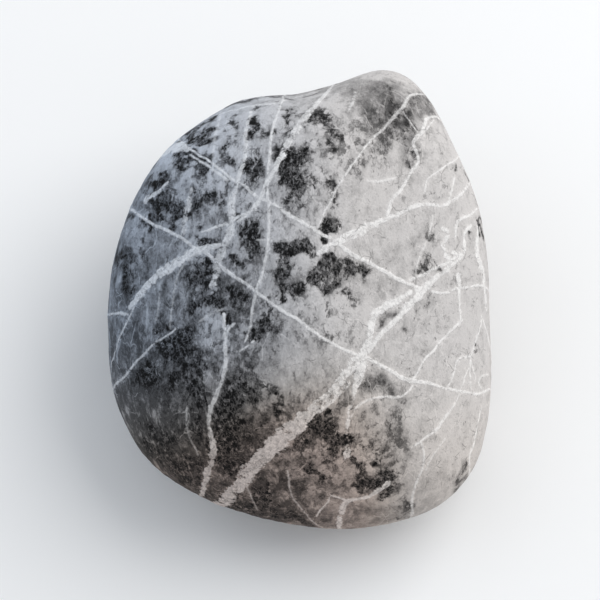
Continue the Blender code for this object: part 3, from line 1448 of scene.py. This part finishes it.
@dataclass(frozen=True)
class VeinPattern:
    """The shader group that turns the nearest vein's way and shape into a mask."""

    gap_slack: float = 0.45  # how much nearer than its gap says a vein may be, between two points
    edge_softness: float = 0.14
    faint_softness: float = 0.3  # how much softer the edge of a wholly faint vein is
    least_swing: float = 1.3  # how much the width of a clean vein swings
    ragged_swing: float = 4.4  # how much more that of a wholly ragged one does
    nibble_depth: float = 0.22  # how far its edges are nibbled, in millimetres
    clean_break: float = -0.36  # the level below which a clean vein is broken
    ragged_break: float = 0.3  # how much higher that level is in a wholly ragged one
    break_edge: float = 0.16
    break_floor: float = 0.12  # what is left of a vein in a break
    faint_loss: float = 0.8  # how much of a wholly faint vein is lost
    halo_reach: Span = (-0.9, 0.1)

    def group(self) -> bpy.types.ShaderNodeTree:
        """Builds the group, or finds it when it has been built.

        Returns:
            The group: a vein's way, gap and shape and three patterns in, a mask and a halo out.
        """
        name = "mineral vein"
        if name in bpy.data.node_groups:
            return bpy.data.node_groups[name]
        tree = bpy.data.node_groups.new(name, "ShaderNodeTree")
        for label, kind in (
            ("Way", "Vector"),
            ("Gap", "Float"),
            ("Shape", "Vector"),
            ("Wobble", "Float"),
            ("Nibble", "Float"),
            ("Breaks", "Float"),
        ):
            tree.interface.new_socket(label, in_out="INPUT", socket_type=f"NodeSocket{kind}")
        for label in ("Mask", "Halo"):
            tree.interface.new_socket(label, in_out="OUTPUT", socket_type="NodeSocketFloat")
        self._fill(ShaderGraph(tree))
        return tree

    def _fill(self, graph: ShaderGraph) -> None:
        """Lays the nodes of the group.

        Args:
            graph: the group's tree.
        """
        inlet = graph.add("NodeGroupInput").outputs
        outlet = graph.add("NodeGroupOutput")
        length = graph.add("ShaderNodeVectorMath", operation="LENGTH")
        graph.feed(length.inputs[0], inlet["Way"])
        far = graph.math("SUBTRACT", inlet["Gap"], self.gap_slack)
        distance = graph.math("MAXIMUM", length.outputs["Value"], far)
        shape = graph.add("ShaderNodeSeparateXYZ")
        graph.feed(shape.inputs[0], inlet["Shape"])
        half, ragged, faint = shape.outputs
        swing = graph.math("MULTIPLY_ADD", ragged, self.ragged_swing, self.least_swing)
        swing = graph.math("MULTIPLY", inlet["Wobble"], swing)
        reach = graph.math("MULTIPLY", half, graph.math("ADD", swing, 1.0))
        nibble = graph.math("MULTIPLY", inlet["Nibble"], self.nibble_depth)
        inside = graph.math("SUBTRACT", graph.math("ADD", reach, nibble), distance)
        soft = graph.math("MULTIPLY_ADD", faint, self.faint_softness, self.edge_softness)
        body = graph.ease(inside, graph.math("MULTIPLY", soft, -1.0), soft)
        level = graph.math("MULTIPLY_ADD", ragged, self.ragged_break, self.clean_break)
        mended = graph.math("ADD", level, self.break_edge)
        whole = graph.ease(inlet["Breaks"], level, mended, self.break_floor, 1.0)
        strength = graph.math("MULTIPLY_ADD", faint, -self.faint_loss, 1.0)
        mask = graph.math("MULTIPLY", graph.math("MULTIPLY", body, whole), strength)
        graph.feed(outlet.inputs["Mask"], mask)
        halo = graph.ease(inside, *self.halo_reach)
        graph.feed(outlet.inputs["Halo"], graph.math("MULTIPLY", halo, strength))


@dataclass(frozen=True)
class HairlinePattern:
    """The shader group for hair-fine lines that come and go: threads of calcite, and cracks."""

    stray_count: float = 0.3
    stray_rounds: int = 3
    stray_reach: float = 2.4  # millimetres
    rarest: float = 0.75  # the level that the clouds must pass where the amount is nothing
    break_edge: float = 0.1

    def group(self) -> bpy.types.ShaderNodeTree:
        """Builds the group, or finds it when it has been built.

        Returns:
            The group, with a place, a scale, a width and an amount in, and a mask out.
        """
        name = "hairlines"
        if name in bpy.data.node_groups:
            return bpy.data.node_groups[name]
        tree = bpy.data.node_groups.new(name, "ShaderNodeTree")
        tree.interface.new_socket("Place", in_out="INPUT", socket_type="NodeSocketVector")
        for label in ("Scale", "Width", "Amount"):
            tree.interface.new_socket(label, in_out="INPUT", socket_type="NodeSocketFloat")
        tree.interface.new_socket("Mask", in_out="OUTPUT", socket_type="NodeSocketFloat")
        self._fill(ShaderGraph(tree))
        return tree

    def _fill(self, graph: ShaderGraph) -> None:
        """Lays the nodes of the group: the edges of large, uneven cells, broken by clouds.

        Args:
            graph: the group's tree.
        """
        inlet = graph.add("NodeGroupInput").outputs
        outlet = graph.add("NodeGroupOutput")
        cells = graph.add("ShaderNodeTexVoronoi", feature="DISTANCE_TO_EDGE")
        uneven = graph.stray(inlet["Place"], self.stray_count, self.stray_rounds, self.stray_reach)
        graph.feed(cells.inputs["Vector"], uneven)
        graph.feed(cells.inputs["Scale"], inlet["Scale"])
        line = graph.ease(cells.outputs["Distance"], 0.0, inlet["Width"], 1.0, 0.0)
        breaks = graph.noise(inlet["Place"], Clouds(inlet["Scale"]))
        level = graph.math("MULTIPLY_ADD", inlet["Amount"], -0.5, self.rarest)
        shown = graph.ease(breaks, level, graph.math("ADD", level, self.break_edge))
        graph.feed(outlet.inputs["Mask"], graph.math("MULTIPLY", line, shown))


@dataclass(frozen=True)
class Hairlines:
    """A set of hair-fine lines along the edges of cells.

    stretch is how the places are stretched, count how many cells there are to a millimetre,
    width how wide a line is for a cell of 1, and amount how much of the lines shows.
    """

    stretch: Scale
    count: float
    width: float
    amount: float

    def mask(self, graph: ShaderGraph, place: Feed) -> bpy.types.NodeSocket:
        """Draws the set.

        Args:
            graph: the material's tree.
            place: where it is read, before its stretch.

        Returns:
            The mask.
        """
        lines = graph.add("ShaderNodeGroup", node_tree=HairlinePattern().group())
        graph.feed(lines.inputs["Place"], graph.stretch(place, self.stretch))
        graph.feed(lines.inputs["Scale"], self.count)
        graph.feed(lines.inputs["Width"], self.width)
        graph.feed(lines.inputs["Amount"], self.amount)
        return lines.outputs["Mask"]


@dataclass(frozen=True)
class DarkMineral:
    """The near-black mineral of the patches, seams and specks. Counts are to a millimetre."""

    soot: Colour = (0.004, 0.004, 0.0042, 1)
    ash: Colour = (0.26, 0.26, 0.26, 1)
    stray_count: float = 1.1
    stray_rounds: int = 4
    stray_reach: float = 1.4  # millimetres
    clumps: Clouds = Clouds(0.34, 5, 0.6, 0.2)
    clump_height: float = 1.5
    speckle: Clouds = Clouds(1.5, 7, 0.76, 0.1)
    speckle_height: float = 2.6
    grain_count: float = 1.15
    grain_height: float = 0.5
    pattern_gain: Easing = (0.0, 0.3, 0.6, 1.0)  # by how dense the mineral is
    density_share: float = 0.8
    patch_edge: Easing = (0.17, 0.56)
    patch_strength: Easing = (0.05, 0.55, 0.55, 1.0)
    crazing_strength: Easing = (0.05, 0.6, 0.0, 0.8)
    seam_width: float = 0.14  # for a grain of 1
    seam_areas: Clouds = Clouds(0.7, 3)
    seam_area_edge: Easing = (0.4, 0.58)
    specks: Clouds = Clouds(2.3, 3, 0.6)
    speck_edge: Easing = (0.6, 0.72, 0.0, 0.55)
    speck_areas: Clouds = Clouds(0.3, 3)
    speck_area_edge: Easing = (0.42, 0.6)
    ashy_grains: Clouds = Clouds(1.3, 8, 0.8)
    ash_edge: Easing = (0.49, 0.66)
    net_width: float = 0.12
    net_strength: float = 0.35

    def stray(self, graph: ShaderGraph, bedding: Feed) -> bpy.types.NodeSocket:
        """The places with a small stray, so that the grains read at them are irregular."""
        return graph.stray(bedding, self.stray_count, self.stray_rounds, self.stray_reach)

    def level(self, graph: ShaderGraph, bedding: Feed, strayed: Feed) -> bpy.types.NodeSocket:
        """How strongly the stone tends to the dark mineral, in clumps of small grains.

        Args:
            graph: the material's tree.
            bedding: where the patterns are read, along the bedding.
            strayed: the same with a small stray.

        Returns:
            A value that is mostly from 0 to 1.
        """
        density = graph.read("darkness", "Fac")
        clumps = graph.swing(graph.noise(bedding, self.clumps), self.clump_height)
        fine = graph.swing(graph.noise(bedding, self.speckle), self.speckle_height)
        cells = graph.add("ShaderNodeTexVoronoi", feature="F1")
        graph.feed(cells.inputs["Vector"], strayed)
        cells.inputs["Scale"].default_value = self.grain_count
        grains = graph.swing(cells.outputs["Color"], self.grain_height)
        pattern = graph.math("ADD", graph.math("ADD", clumps, fine), grains)
        pattern = graph.math("MULTIPLY", pattern, graph.ease(density, *self.pattern_gain))
        return graph.math("MULTIPLY_ADD", density, self.density_share, pattern)

    def mask(self, graph: ShaderGraph, bedding: Feed, strayed: Feed, level: Feed) -> bpy.types.NodeSocket:
        """Where the dark mineral shows: in the patches, in seams and as specks.

        Args:
            graph: the material's tree.
            bedding: where the patterns are read, along the bedding.
            strayed: the same with a small stray.
            level: how strongly the stone tends to it.

        Returns:
            The mask.
        """
        density = graph.read("darkness", "Fac")
        patches = graph.ease(level, *self.patch_edge)
        patches = graph.math("MULTIPLY", patches, graph.ease(density, *self.patch_strength))
        crazing = self.seams(graph, bedding, strayed, self.seam_width)
        crazing = graph.math("MULTIPLY", crazing, graph.ease(density, *self.crazing_strength))
        specks = graph.ease(graph.noise(bedding, self.specks), *self.speck_edge)
        areas = graph.ease(graph.noise(bedding, self.speck_areas), *self.speck_area_edge)
        specks = graph.math("MULTIPLY", specks, areas)
        return graph.math("MAXIMUM", graph.math("MAXIMUM", patches, crazing), specks)

    def seams(
        self, graph: ShaderGraph, bedding: Feed, strayed: Feed, width: float
    ) -> bpy.types.NodeSocket:
        """Fine seams between the grains, here and there.

        Args:
            graph: the material's tree.
            bedding: where the breaks in them are read.
            strayed: where the grains are read.
            width: how wide a seam is for a grain of 1.

        Returns:
            The mask.
        """
        cells = graph.add("ShaderNodeTexVoronoi", feature="DISTANCE_TO_EDGE")
        graph.feed(cells.inputs["Vector"], strayed)
        cells.inputs["Scale"].default_value = self.grain_count
        broken = graph.ease(graph.noise(bedding, self.seam_areas), *self.seam_area_edge)
        seams = graph.ease(cells.outputs["Distance"], 0.0, width, 1.0, 0.0)
        return graph.math("MULTIPLY", seams, broken)

    def colour(
        self, graph: ShaderGraph, bedding: Feed, strayed: Feed
    ) -> bpy.types.NodeSocket:
        """The dark mineral itself, near black with ashy grains and an ashy net.

        Args:
            graph: the material's tree.
            bedding: where the patterns are read, along the bedding.
            strayed: the same with a small stray.

        Returns:
            The colour.
        """
        grains = graph.ease(graph.noise(bedding, self.ashy_grains), *self.ash_edge)
        net = self.seams(graph, bedding, strayed, self.net_width)
        net = graph.math("MULTIPLY", net, self.net_strength)
        return graph.blend(graph.math("MAXIMUM", grains, net), self.soot, self.ash)


@dataclass(frozen=True)
class Calcite:
    """The white mineral of the veins, and the thin haze of it between them."""

    white: Colour = (0.84, 0.84, 0.83, 1)
    # shade is the grey of dull calcite grains and of calcite in painted shade
    shade: Colour = (0.47, 0.47, 0.47, 1)
    wobble: Clouds = Clouds(0.8, 4, 0.62)
    nibble: Clouds = Clouds(1.9, 3, 0.55)
    breaks: Clouds = Clouds(0.8, 4, 0.65)
    break_height: float = 1.6
    grains: Clouds = Clouds(1.8, 5, 0.72)
    grain_height: float = 2.2
    fine_height: float = 0.8
    painted_light_share: float = 0.6  # how much whiter the veins are where the stone is palest: painted light, so that they dim in the painted shade to the lower left
    least: float = 0.28  # how white they are where it is darkest
    upright: Scale = (1.0, 0.4, 0.7)
    wisps: Clouds = Clouds(0.55, 7, 0.68, 0.3)
    wisp_edge: Easing = (0.5, 0.72, 0.0, 0.55)
    wisp_strength: Easing = (0.1, 0.9, 0.75, 0.25)  # by how pale the stone is
    threads: Hairlines = Hairlines((1.3, 0.7, 1.0), 0.17, 0.022, 0.46)
    finer_threads: Hairlines = Hairlines((0.8, 1.2, 1.1), 0.34, 0.032, 0.4)
    thread_strength: float = 0.34
    bloom: Clouds = Clouds(1.4, 5, 0.7)
    bloom_edge: Easing = (0.44, 0.7, 0.0, 0.6)

    def veins(
        self, graph: ShaderGraph, place: Feed
    ) -> tuple[bpy.types.NodeSocket, bpy.types.NodeSocket]:
        """The mask of all the veins together, and that of the haze beside them.

        Args:
            graph: the material's tree.
            place: in millimetres from the stone's origin.

        Returns:
            The two masks.
        """
        wobble = graph.swing(graph.noise(place, self.wobble), 1.0)
        nibble = graph.swing(graph.noise(place, self.nibble), 1.0)
        breaks = graph.swing(graph.noise(place, self.breaks), self.break_height)
        masks = []
        halos = []
        for layer in VeinLayer:
            vein = graph.add("ShaderNodeGroup", node_tree=VeinPattern().group())
            graph.feed(vein.inputs["Way"], graph.read(f"{layer.value}_way", "Vector"))
            graph.feed(vein.inputs["Gap"], graph.read(f"{layer.value}_gap", "Fac"))
            graph.feed(vein.inputs["Shape"], graph.read(f"{layer.value}_shape", "Vector"))
            graph.feed(vein.inputs["Wobble"], wobble)
            graph.feed(vein.inputs["Nibble"], nibble)
            graph.feed(vein.inputs["Breaks"], breaks)
            masks.append(vein.outputs["Mask"])
            halos.append(vein.outputs["Halo"])
        return self._most(graph, masks), self._most(graph, halos)

    def haze(self, graph: ShaderGraph, face: Feed, halo: Feed) -> bpy.types.NodeSocket:
        """Thin calcite: wisps, threads, and a bloom beside the veins.

        Args:
            graph: the material's tree.
            face: in millimetres, turned with the broad face.
            halo: the mask beside the veins.

        Returns:
            The mask.
        """
        upright = graph.stretch(face, self.upright)
        wisps = graph.ease(graph.noise(upright, self.wisps), *self.wisp_edge)
        tone = graph.read("tone", "Fac")
        wisps = graph.math("MULTIPLY", wisps, graph.ease(tone, *self.wisp_strength))
        threads = self.threads.mask(graph, face)
        finer = self.finer_threads.mask(graph, face)
        lines = graph.math("MAXIMUM", threads, finer)
        lines = graph.math("MULTIPLY", lines, self.thread_strength)
        bloom = graph.ease(graph.noise(face, self.bloom), *self.bloom_edge)
        bloom = graph.math("MULTIPLY", halo, bloom)
        return graph.math("MAXIMUM", graph.math("MAXIMUM", wisps, lines), bloom)

    def colour(self, graph: ShaderGraph, place: Feed, grain: Feed) -> bpy.types.NodeSocket:
        """The calcite of the veins, whiter where the stone is pale as painted light, dimmer in its
        painted shade, with dull grains.

        Args:
            graph: the material's tree.
            place: in millimetres from the stone's origin.
            grain: the fine grain of the stone.

        Returns:
            The colour.
        """
        level = graph.swing(graph.noise(place, self.grains), self.grain_height)
        level = graph.math("MULTIPLY_ADD", graph.read("tone", "Fac"), self.painted_light_share, level)
        level = graph.math("ADD", level, graph.swing(grain, self.fine_height))
        level = graph.math("ADD", level, self.least, clamp=True)
        return graph.blend(level, self.shade, self.white)

    def _most(self, graph: ShaderGraph, masks: Sequence[bpy.types.NodeSocket]) -> bpy.types.NodeSocket:
        """The strongest of several masks.

        Args:
            graph: the material's tree.
            masks: the masks.

        Returns:
            One mask.
        """
        most = masks[0]
        for mask in masks[1:]:
            most = graph.math("MAXIMUM", most, mask)
        return most


@dataclass(frozen=True)
class StoneFinish:
    """Dry, water-worn grey limestone with calcite veins and dark, grainy patches."""

    lean: float
    dark: DarkMineral = DarkMineral()
    calcite: Calcite = Calcite()
    pale: Colour = (0.57, 0.57, 0.565, 1)
    deep: Colour = (0.066, 0.066, 0.066, 1)
    # the stone's own blue, and painted cool light on the left
    blue_and_cool_light_tint: Colour = (0.85, 0.975, 1.18, 1)
    warm_tint: Colour = (1.165, 1.0, 0.83, 1)
    plum_tint: Colour = (1.21, 0.975, 0.865, 1)
    plum_edge: Easing = (0.58, 1.0)  # by how warm the stone is
    vein_tint: float = 0.6  # the share of the tint, painted cool light included, that the veins take
    bedding: Scale = (1.0, 0.72, 0.85)
    grain: Clouds = Clouds(2.9, 4, 0.65)
    grain_height: float = 0.7
    grain_range: Span = (0.3, 0.7)
    clouds: Clouds = Clouds(0.14, 5, 0.6)
    cloud_height: float = 0.45
    mottle: Clouds = Clouds(0.75, 7, 0.75)
    mottle_height: float = 1.55
    dull_rim: Easing = (-0.12, 0.4, 0.04, -0.2)  # by how strongly it tends to the dark mineral
    cracks: Hairlines = Hairlines((0.9, 1.2, 1.0), 0.45, 0.045, 0.4)
    crack_strength: float = 0.4
    vein_crack_loss: float = 0.5  # how much of a vein is lost where a crack crosses it
    chink_width: float = 0.07
    vein_chink_loss: float = 0.6
    roughness: float = 0.74
    roughness_swing: float = 0.08
    vein_roughness: float = 0.6
    specular: float = 0.12
    bump_strength: float = 0.8
    bump_height: float = 0.00022  # metres
    sunk_dark: float = 0.8  # how far the dark mineral lies below the grain
    raised_veins: float = 0.35

    def material(self) -> bpy.types.Material:
        """Builds the material.

        Returns:
            The stone's one material.
        """
        material = bpy.data.materials.new("veined_limestone")
        material.use_nodes = True
        material.node_tree.nodes.clear()
        graph = ShaderGraph(material.node_tree)
        coordinates = graph.add("ShaderNodeTexCoord").outputs["Object"]
        place = graph.stretch(coordinates, (1 / MM,) * 3)
        face = graph.stretch(place, (1, 1, 1), -self.lean)
        bedding = graph.stretch(face, self.bedding)
        grain = graph.noise(bedding, self.grain)
        strayed = self.dark.stray(graph, bedding)
        level = self.dark.level(graph, bedding, strayed)
        cracks = self.cracks.mask(graph, bedding)
        dark = self.dark.mask(graph, bedding, strayed, level)
        dark = graph.math("MAXIMUM", dark, graph.math("MULTIPLY", cracks, self.crack_strength))
        veins, halo = self.calcite.veins(graph, place)
        chinks = self.dark.seams(graph, place, strayed, self.chink_width)
        for gaps, loss in ((chinks, self.vein_chink_loss), (cracks, self.vein_crack_loss)):
            veins = graph.math("MULTIPLY", veins, graph.math("MULTIPLY_ADD", gaps, -loss, 1.0))
        tint = self._tint(graph)
        colour = graph.blend(1.0, self._body(graph, bedding, grain, level), tint, "MULTIPLY")
        white = graph.blend(1.0, self.calcite.white, tint, "MULTIPLY")
        colour = graph.blend(self.calcite.haze(graph, face, halo), colour, white)
        soot = graph.blend(1.0, self.dark.colour(graph, bedding, strayed), tint, "MULTIPLY")
        colour = graph.blend(dark, colour, soot)
        calcite = self.calcite.colour(graph, place, grain)
        calcite = graph.blend(self.vein_tint, calcite, tint, "MULTIPLY")
        colour = graph.blend(veins, colour, calcite)
        shader = graph.add("ShaderNodeBsdfPrincipled")
        shader.inputs["Specular IOR Level"].default_value = self.specular
        graph.feed(shader.inputs["Base Color"], colour)
        graph.feed(shader.inputs["Roughness"], self._roughness(graph, veins, grain))
        graph.feed(shader.inputs["Normal"], self._bump(graph, dark, veins, grain))
        graph.feed(graph.add("ShaderNodeOutputMaterial").inputs["Surface"], shader.outputs[0])
        return material

    def _tint(self, graph: ShaderGraph) -> bpy.types.NodeSocket:
        """The cast of the whole stone: bluish, partly as painted cool light, then earthy, then plum where
        it is warmest.

        Args:
            graph: the material's tree.

        Returns:
            A colour to multiply by.
        """
        warmth = graph.read("warmth", "Fac")
        tint = graph.blend(warmth, self.blue_and_cool_light_tint, self.warm_tint)
        return graph.blend(graph.ease(warmth, *self.plum_edge), tint, self.plum_tint)

    def _body(
        self, graph: ShaderGraph, bedding: Feed, grain: Feed, level: Feed
    ) -> bpy.types.NodeSocket:
        """The grey of the stone, from deep to pale with the painted shade that its tone carries, clouded,
        and duller round the dark patches.

        Args:
            graph: the material's tree.
            bedding: where the patterns are read, along the bedding.
            grain: the fine grain of the stone.
            level: how strongly the stone tends to the dark mineral.

        Returns:
            The colour.
        """
        tone = graph.read("tone", "Fac")
        clouds = graph.swing(graph.noise(bedding, self.clouds), self.cloud_height)
        mottle = graph.swing(graph.noise(bedding, self.mottle), self.mottle_height)
        tone = graph.math("ADD", tone, graph.ease(level, *self.dull_rim))
        tone = graph.math("ADD", tone, clouds)
        tone = graph.math("ADD", tone, mottle)
        tone = graph.math("ADD", tone, graph.swing(grain, self.grain_height), clamp=True)
        return graph.blend(tone, self.deep, self.pale)

    def _roughness(self, graph: ShaderGraph, veins: Feed, grain: Feed) -> bpy.types.NodeSocket:
        """A little smoother on the veins than on the body.

        Args:
            graph: the material's tree.
            veins: the mask of the veins.
            grain: the fine grain of the stone.

        Returns:
            The roughness.
        """
        least, greatest = self.roughness - self.roughness_swing, self.roughness + self.roughness_swing
        body = graph.ease(grain, *self.grain_range, least, greatest)
        return graph.math("MULTIPLY_ADD", veins, self.vein_roughness - self.roughness, body)

    def _bump(self, graph: ShaderGraph, dark: Feed, veins: Feed, grain: Feed) -> bpy.types.NodeSocket:
        """Relief too fine for the mesh: grains, sunk dark spots and proud veins.

        Args:
            graph: the material's tree.
            dark: the mask of the dark mineral.
            veins: the mask of the veins.
            grain: the fine grain of the stone.

        Returns:
            The turned normal.
        """
        height = graph.math("MULTIPLY_ADD", dark, -self.sunk_dark, grain)
        height = graph.math("MULTIPLY_ADD", veins, self.raised_veins, height)
        bump = graph.add("ShaderNodeBump")
        bump.inputs["Strength"].default_value = self.bump_strength
        bump.inputs["Distance"].default_value = self.bump_height
        graph.feed(bump.inputs["Height"], height)
        return bump.outputs["Normal"]


# --------------------------------------------------------------------------------------------
# The studio
# --------------------------------------------------------------------------------------------


@dataclass(frozen=True)
class SoftBox:
    """A square area light aimed at the stone: the way to it, its side and distance in metres."""

    name: str
    turn: float
    height: float
    distance: float
    side: float
    power: float
    tint: tuple[float, float, float]


@dataclass(frozen=True)
class Studio:
    """A plain white floor, soft light mostly from the right, and the camera square to the face."""

    chart: FaceChart
    focal_length: float = 200.0
    sensor: float = 36.0
    floor_size: float = 4.0
    floor_white: Colour = (0.93, 0.93, 0.93, 1)
    sky: Colour = (0.93, 0.96, 1.0, 1)
    sky_strength: float = 0.55
    boxes: tuple[SoftBox, ...] = (
        SoftBox("key", 30, 44, 0.9, 0.9, 6.6, (1.0, 0.99, 0.97)),
        SoftBox("cool_fill", 165, 40, 1.0, 0.9, 1.5, (0.78, 0.88, 1.0)),
    )

    def build(self) -> None:
        """Lays the floor, hangs the lights and sets up the camera."""
        self._floor()
        self._sky()
        for box in self.boxes:
            self._light(box)
        self._camera()
        bpy.context.scene.view_settings.view_transform = "Standard"

    def _floor(self) -> None:
        """A plain white floor at the height that the stone lies on."""
        bpy.ops.object.select_all(action="DESELECT")
        bpy.ops.mesh.primitive_plane_add(size=self.floor_size)
        floor = bpy.context.active_object
        floor.name = "floor"
        paint = bpy.data.materials.new("floor_paint")
        paint.use_nodes = True
        shader = paint.node_tree.nodes["Principled BSDF"]
        shader.inputs["Base Color"].default_value = self.floor_white
        shader.inputs["Roughness"].default_value = 0.9
        shader.inputs["Specular IOR Level"].default_value = 0.1
        floor.data.materials.append(paint)

    def _sky(self) -> None:
        """An even pale light from all round."""
        world = bpy.data.worlds.new("studio_sky")
        world.use_nodes = True
        background = world.node_tree.nodes["Background"]
        background.inputs["Color"].default_value = self.sky
        background.inputs["Strength"].default_value = self.sky_strength
        bpy.context.scene.world = world

    def _light(self, box: SoftBox) -> None:
        """Hangs one soft box and aims it at the stone.

        Args:
            box: the light's size, place and strength.
        """
        turn, height = math.radians(box.turn), math.radians(box.height)
        level = math.cos(height)
        way = Vector((math.cos(turn) * level, math.sin(turn) * level, math.sin(height)))
        lamp = bpy.data.lights.new(box.name, "AREA")
        lamp.size = box.side
        lamp.energy = box.power
        lamp.color = box.tint
        holder = bpy.data.objects.new(box.name, lamp)
        holder.location = self.chart.middle + way * box.distance
        holder.rotation_euler = way.to_track_quat("Z", "Y").to_euler()
        bpy.context.scene.collection.objects.link(holder)

    def _camera(self) -> None:
        """A long lens, square to the broad face."""
        lens = bpy.data.cameras.new("camera")
        lens.lens = self.focal_length
        lens.sensor_width = self.sensor
        camera = bpy.data.objects.new("camera", lens)
        right, up, out = self.chart.axes()
        turn = Matrix((right, up, out)).transposed().to_4x4()
        camera.matrix_world = Matrix.Translation(self.chart.eye()) @ turn
        bpy.context.scene.collection.objects.link(camera)
        bpy.context.scene.camera = camera


def main() -> None:
    """Builds the pebble and the studio round it."""
    logging.basicConfig(level=logging.INFO, format="%(name)s: %(message)s")
    noise.seed_set(NOISE_SEED)
    low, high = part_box(CAD_NODE)
    forward = (low.y + high.y) / 2 - FACE_FORWARD
    middle = Vector(((low.x + high.x) / 2, forward, FACE_HEIGHT))
    chart = FaceChart(middle, FACE_LEAN, EYE_DISTANCE)
    stone = Pebble(chart).build(StoneFinish(chart.lean))
    log.info("%s: %d faces", stone.name, len(stone.data.polygons))
    Studio(chart).build()


if __name__ == "__main__":
    main()
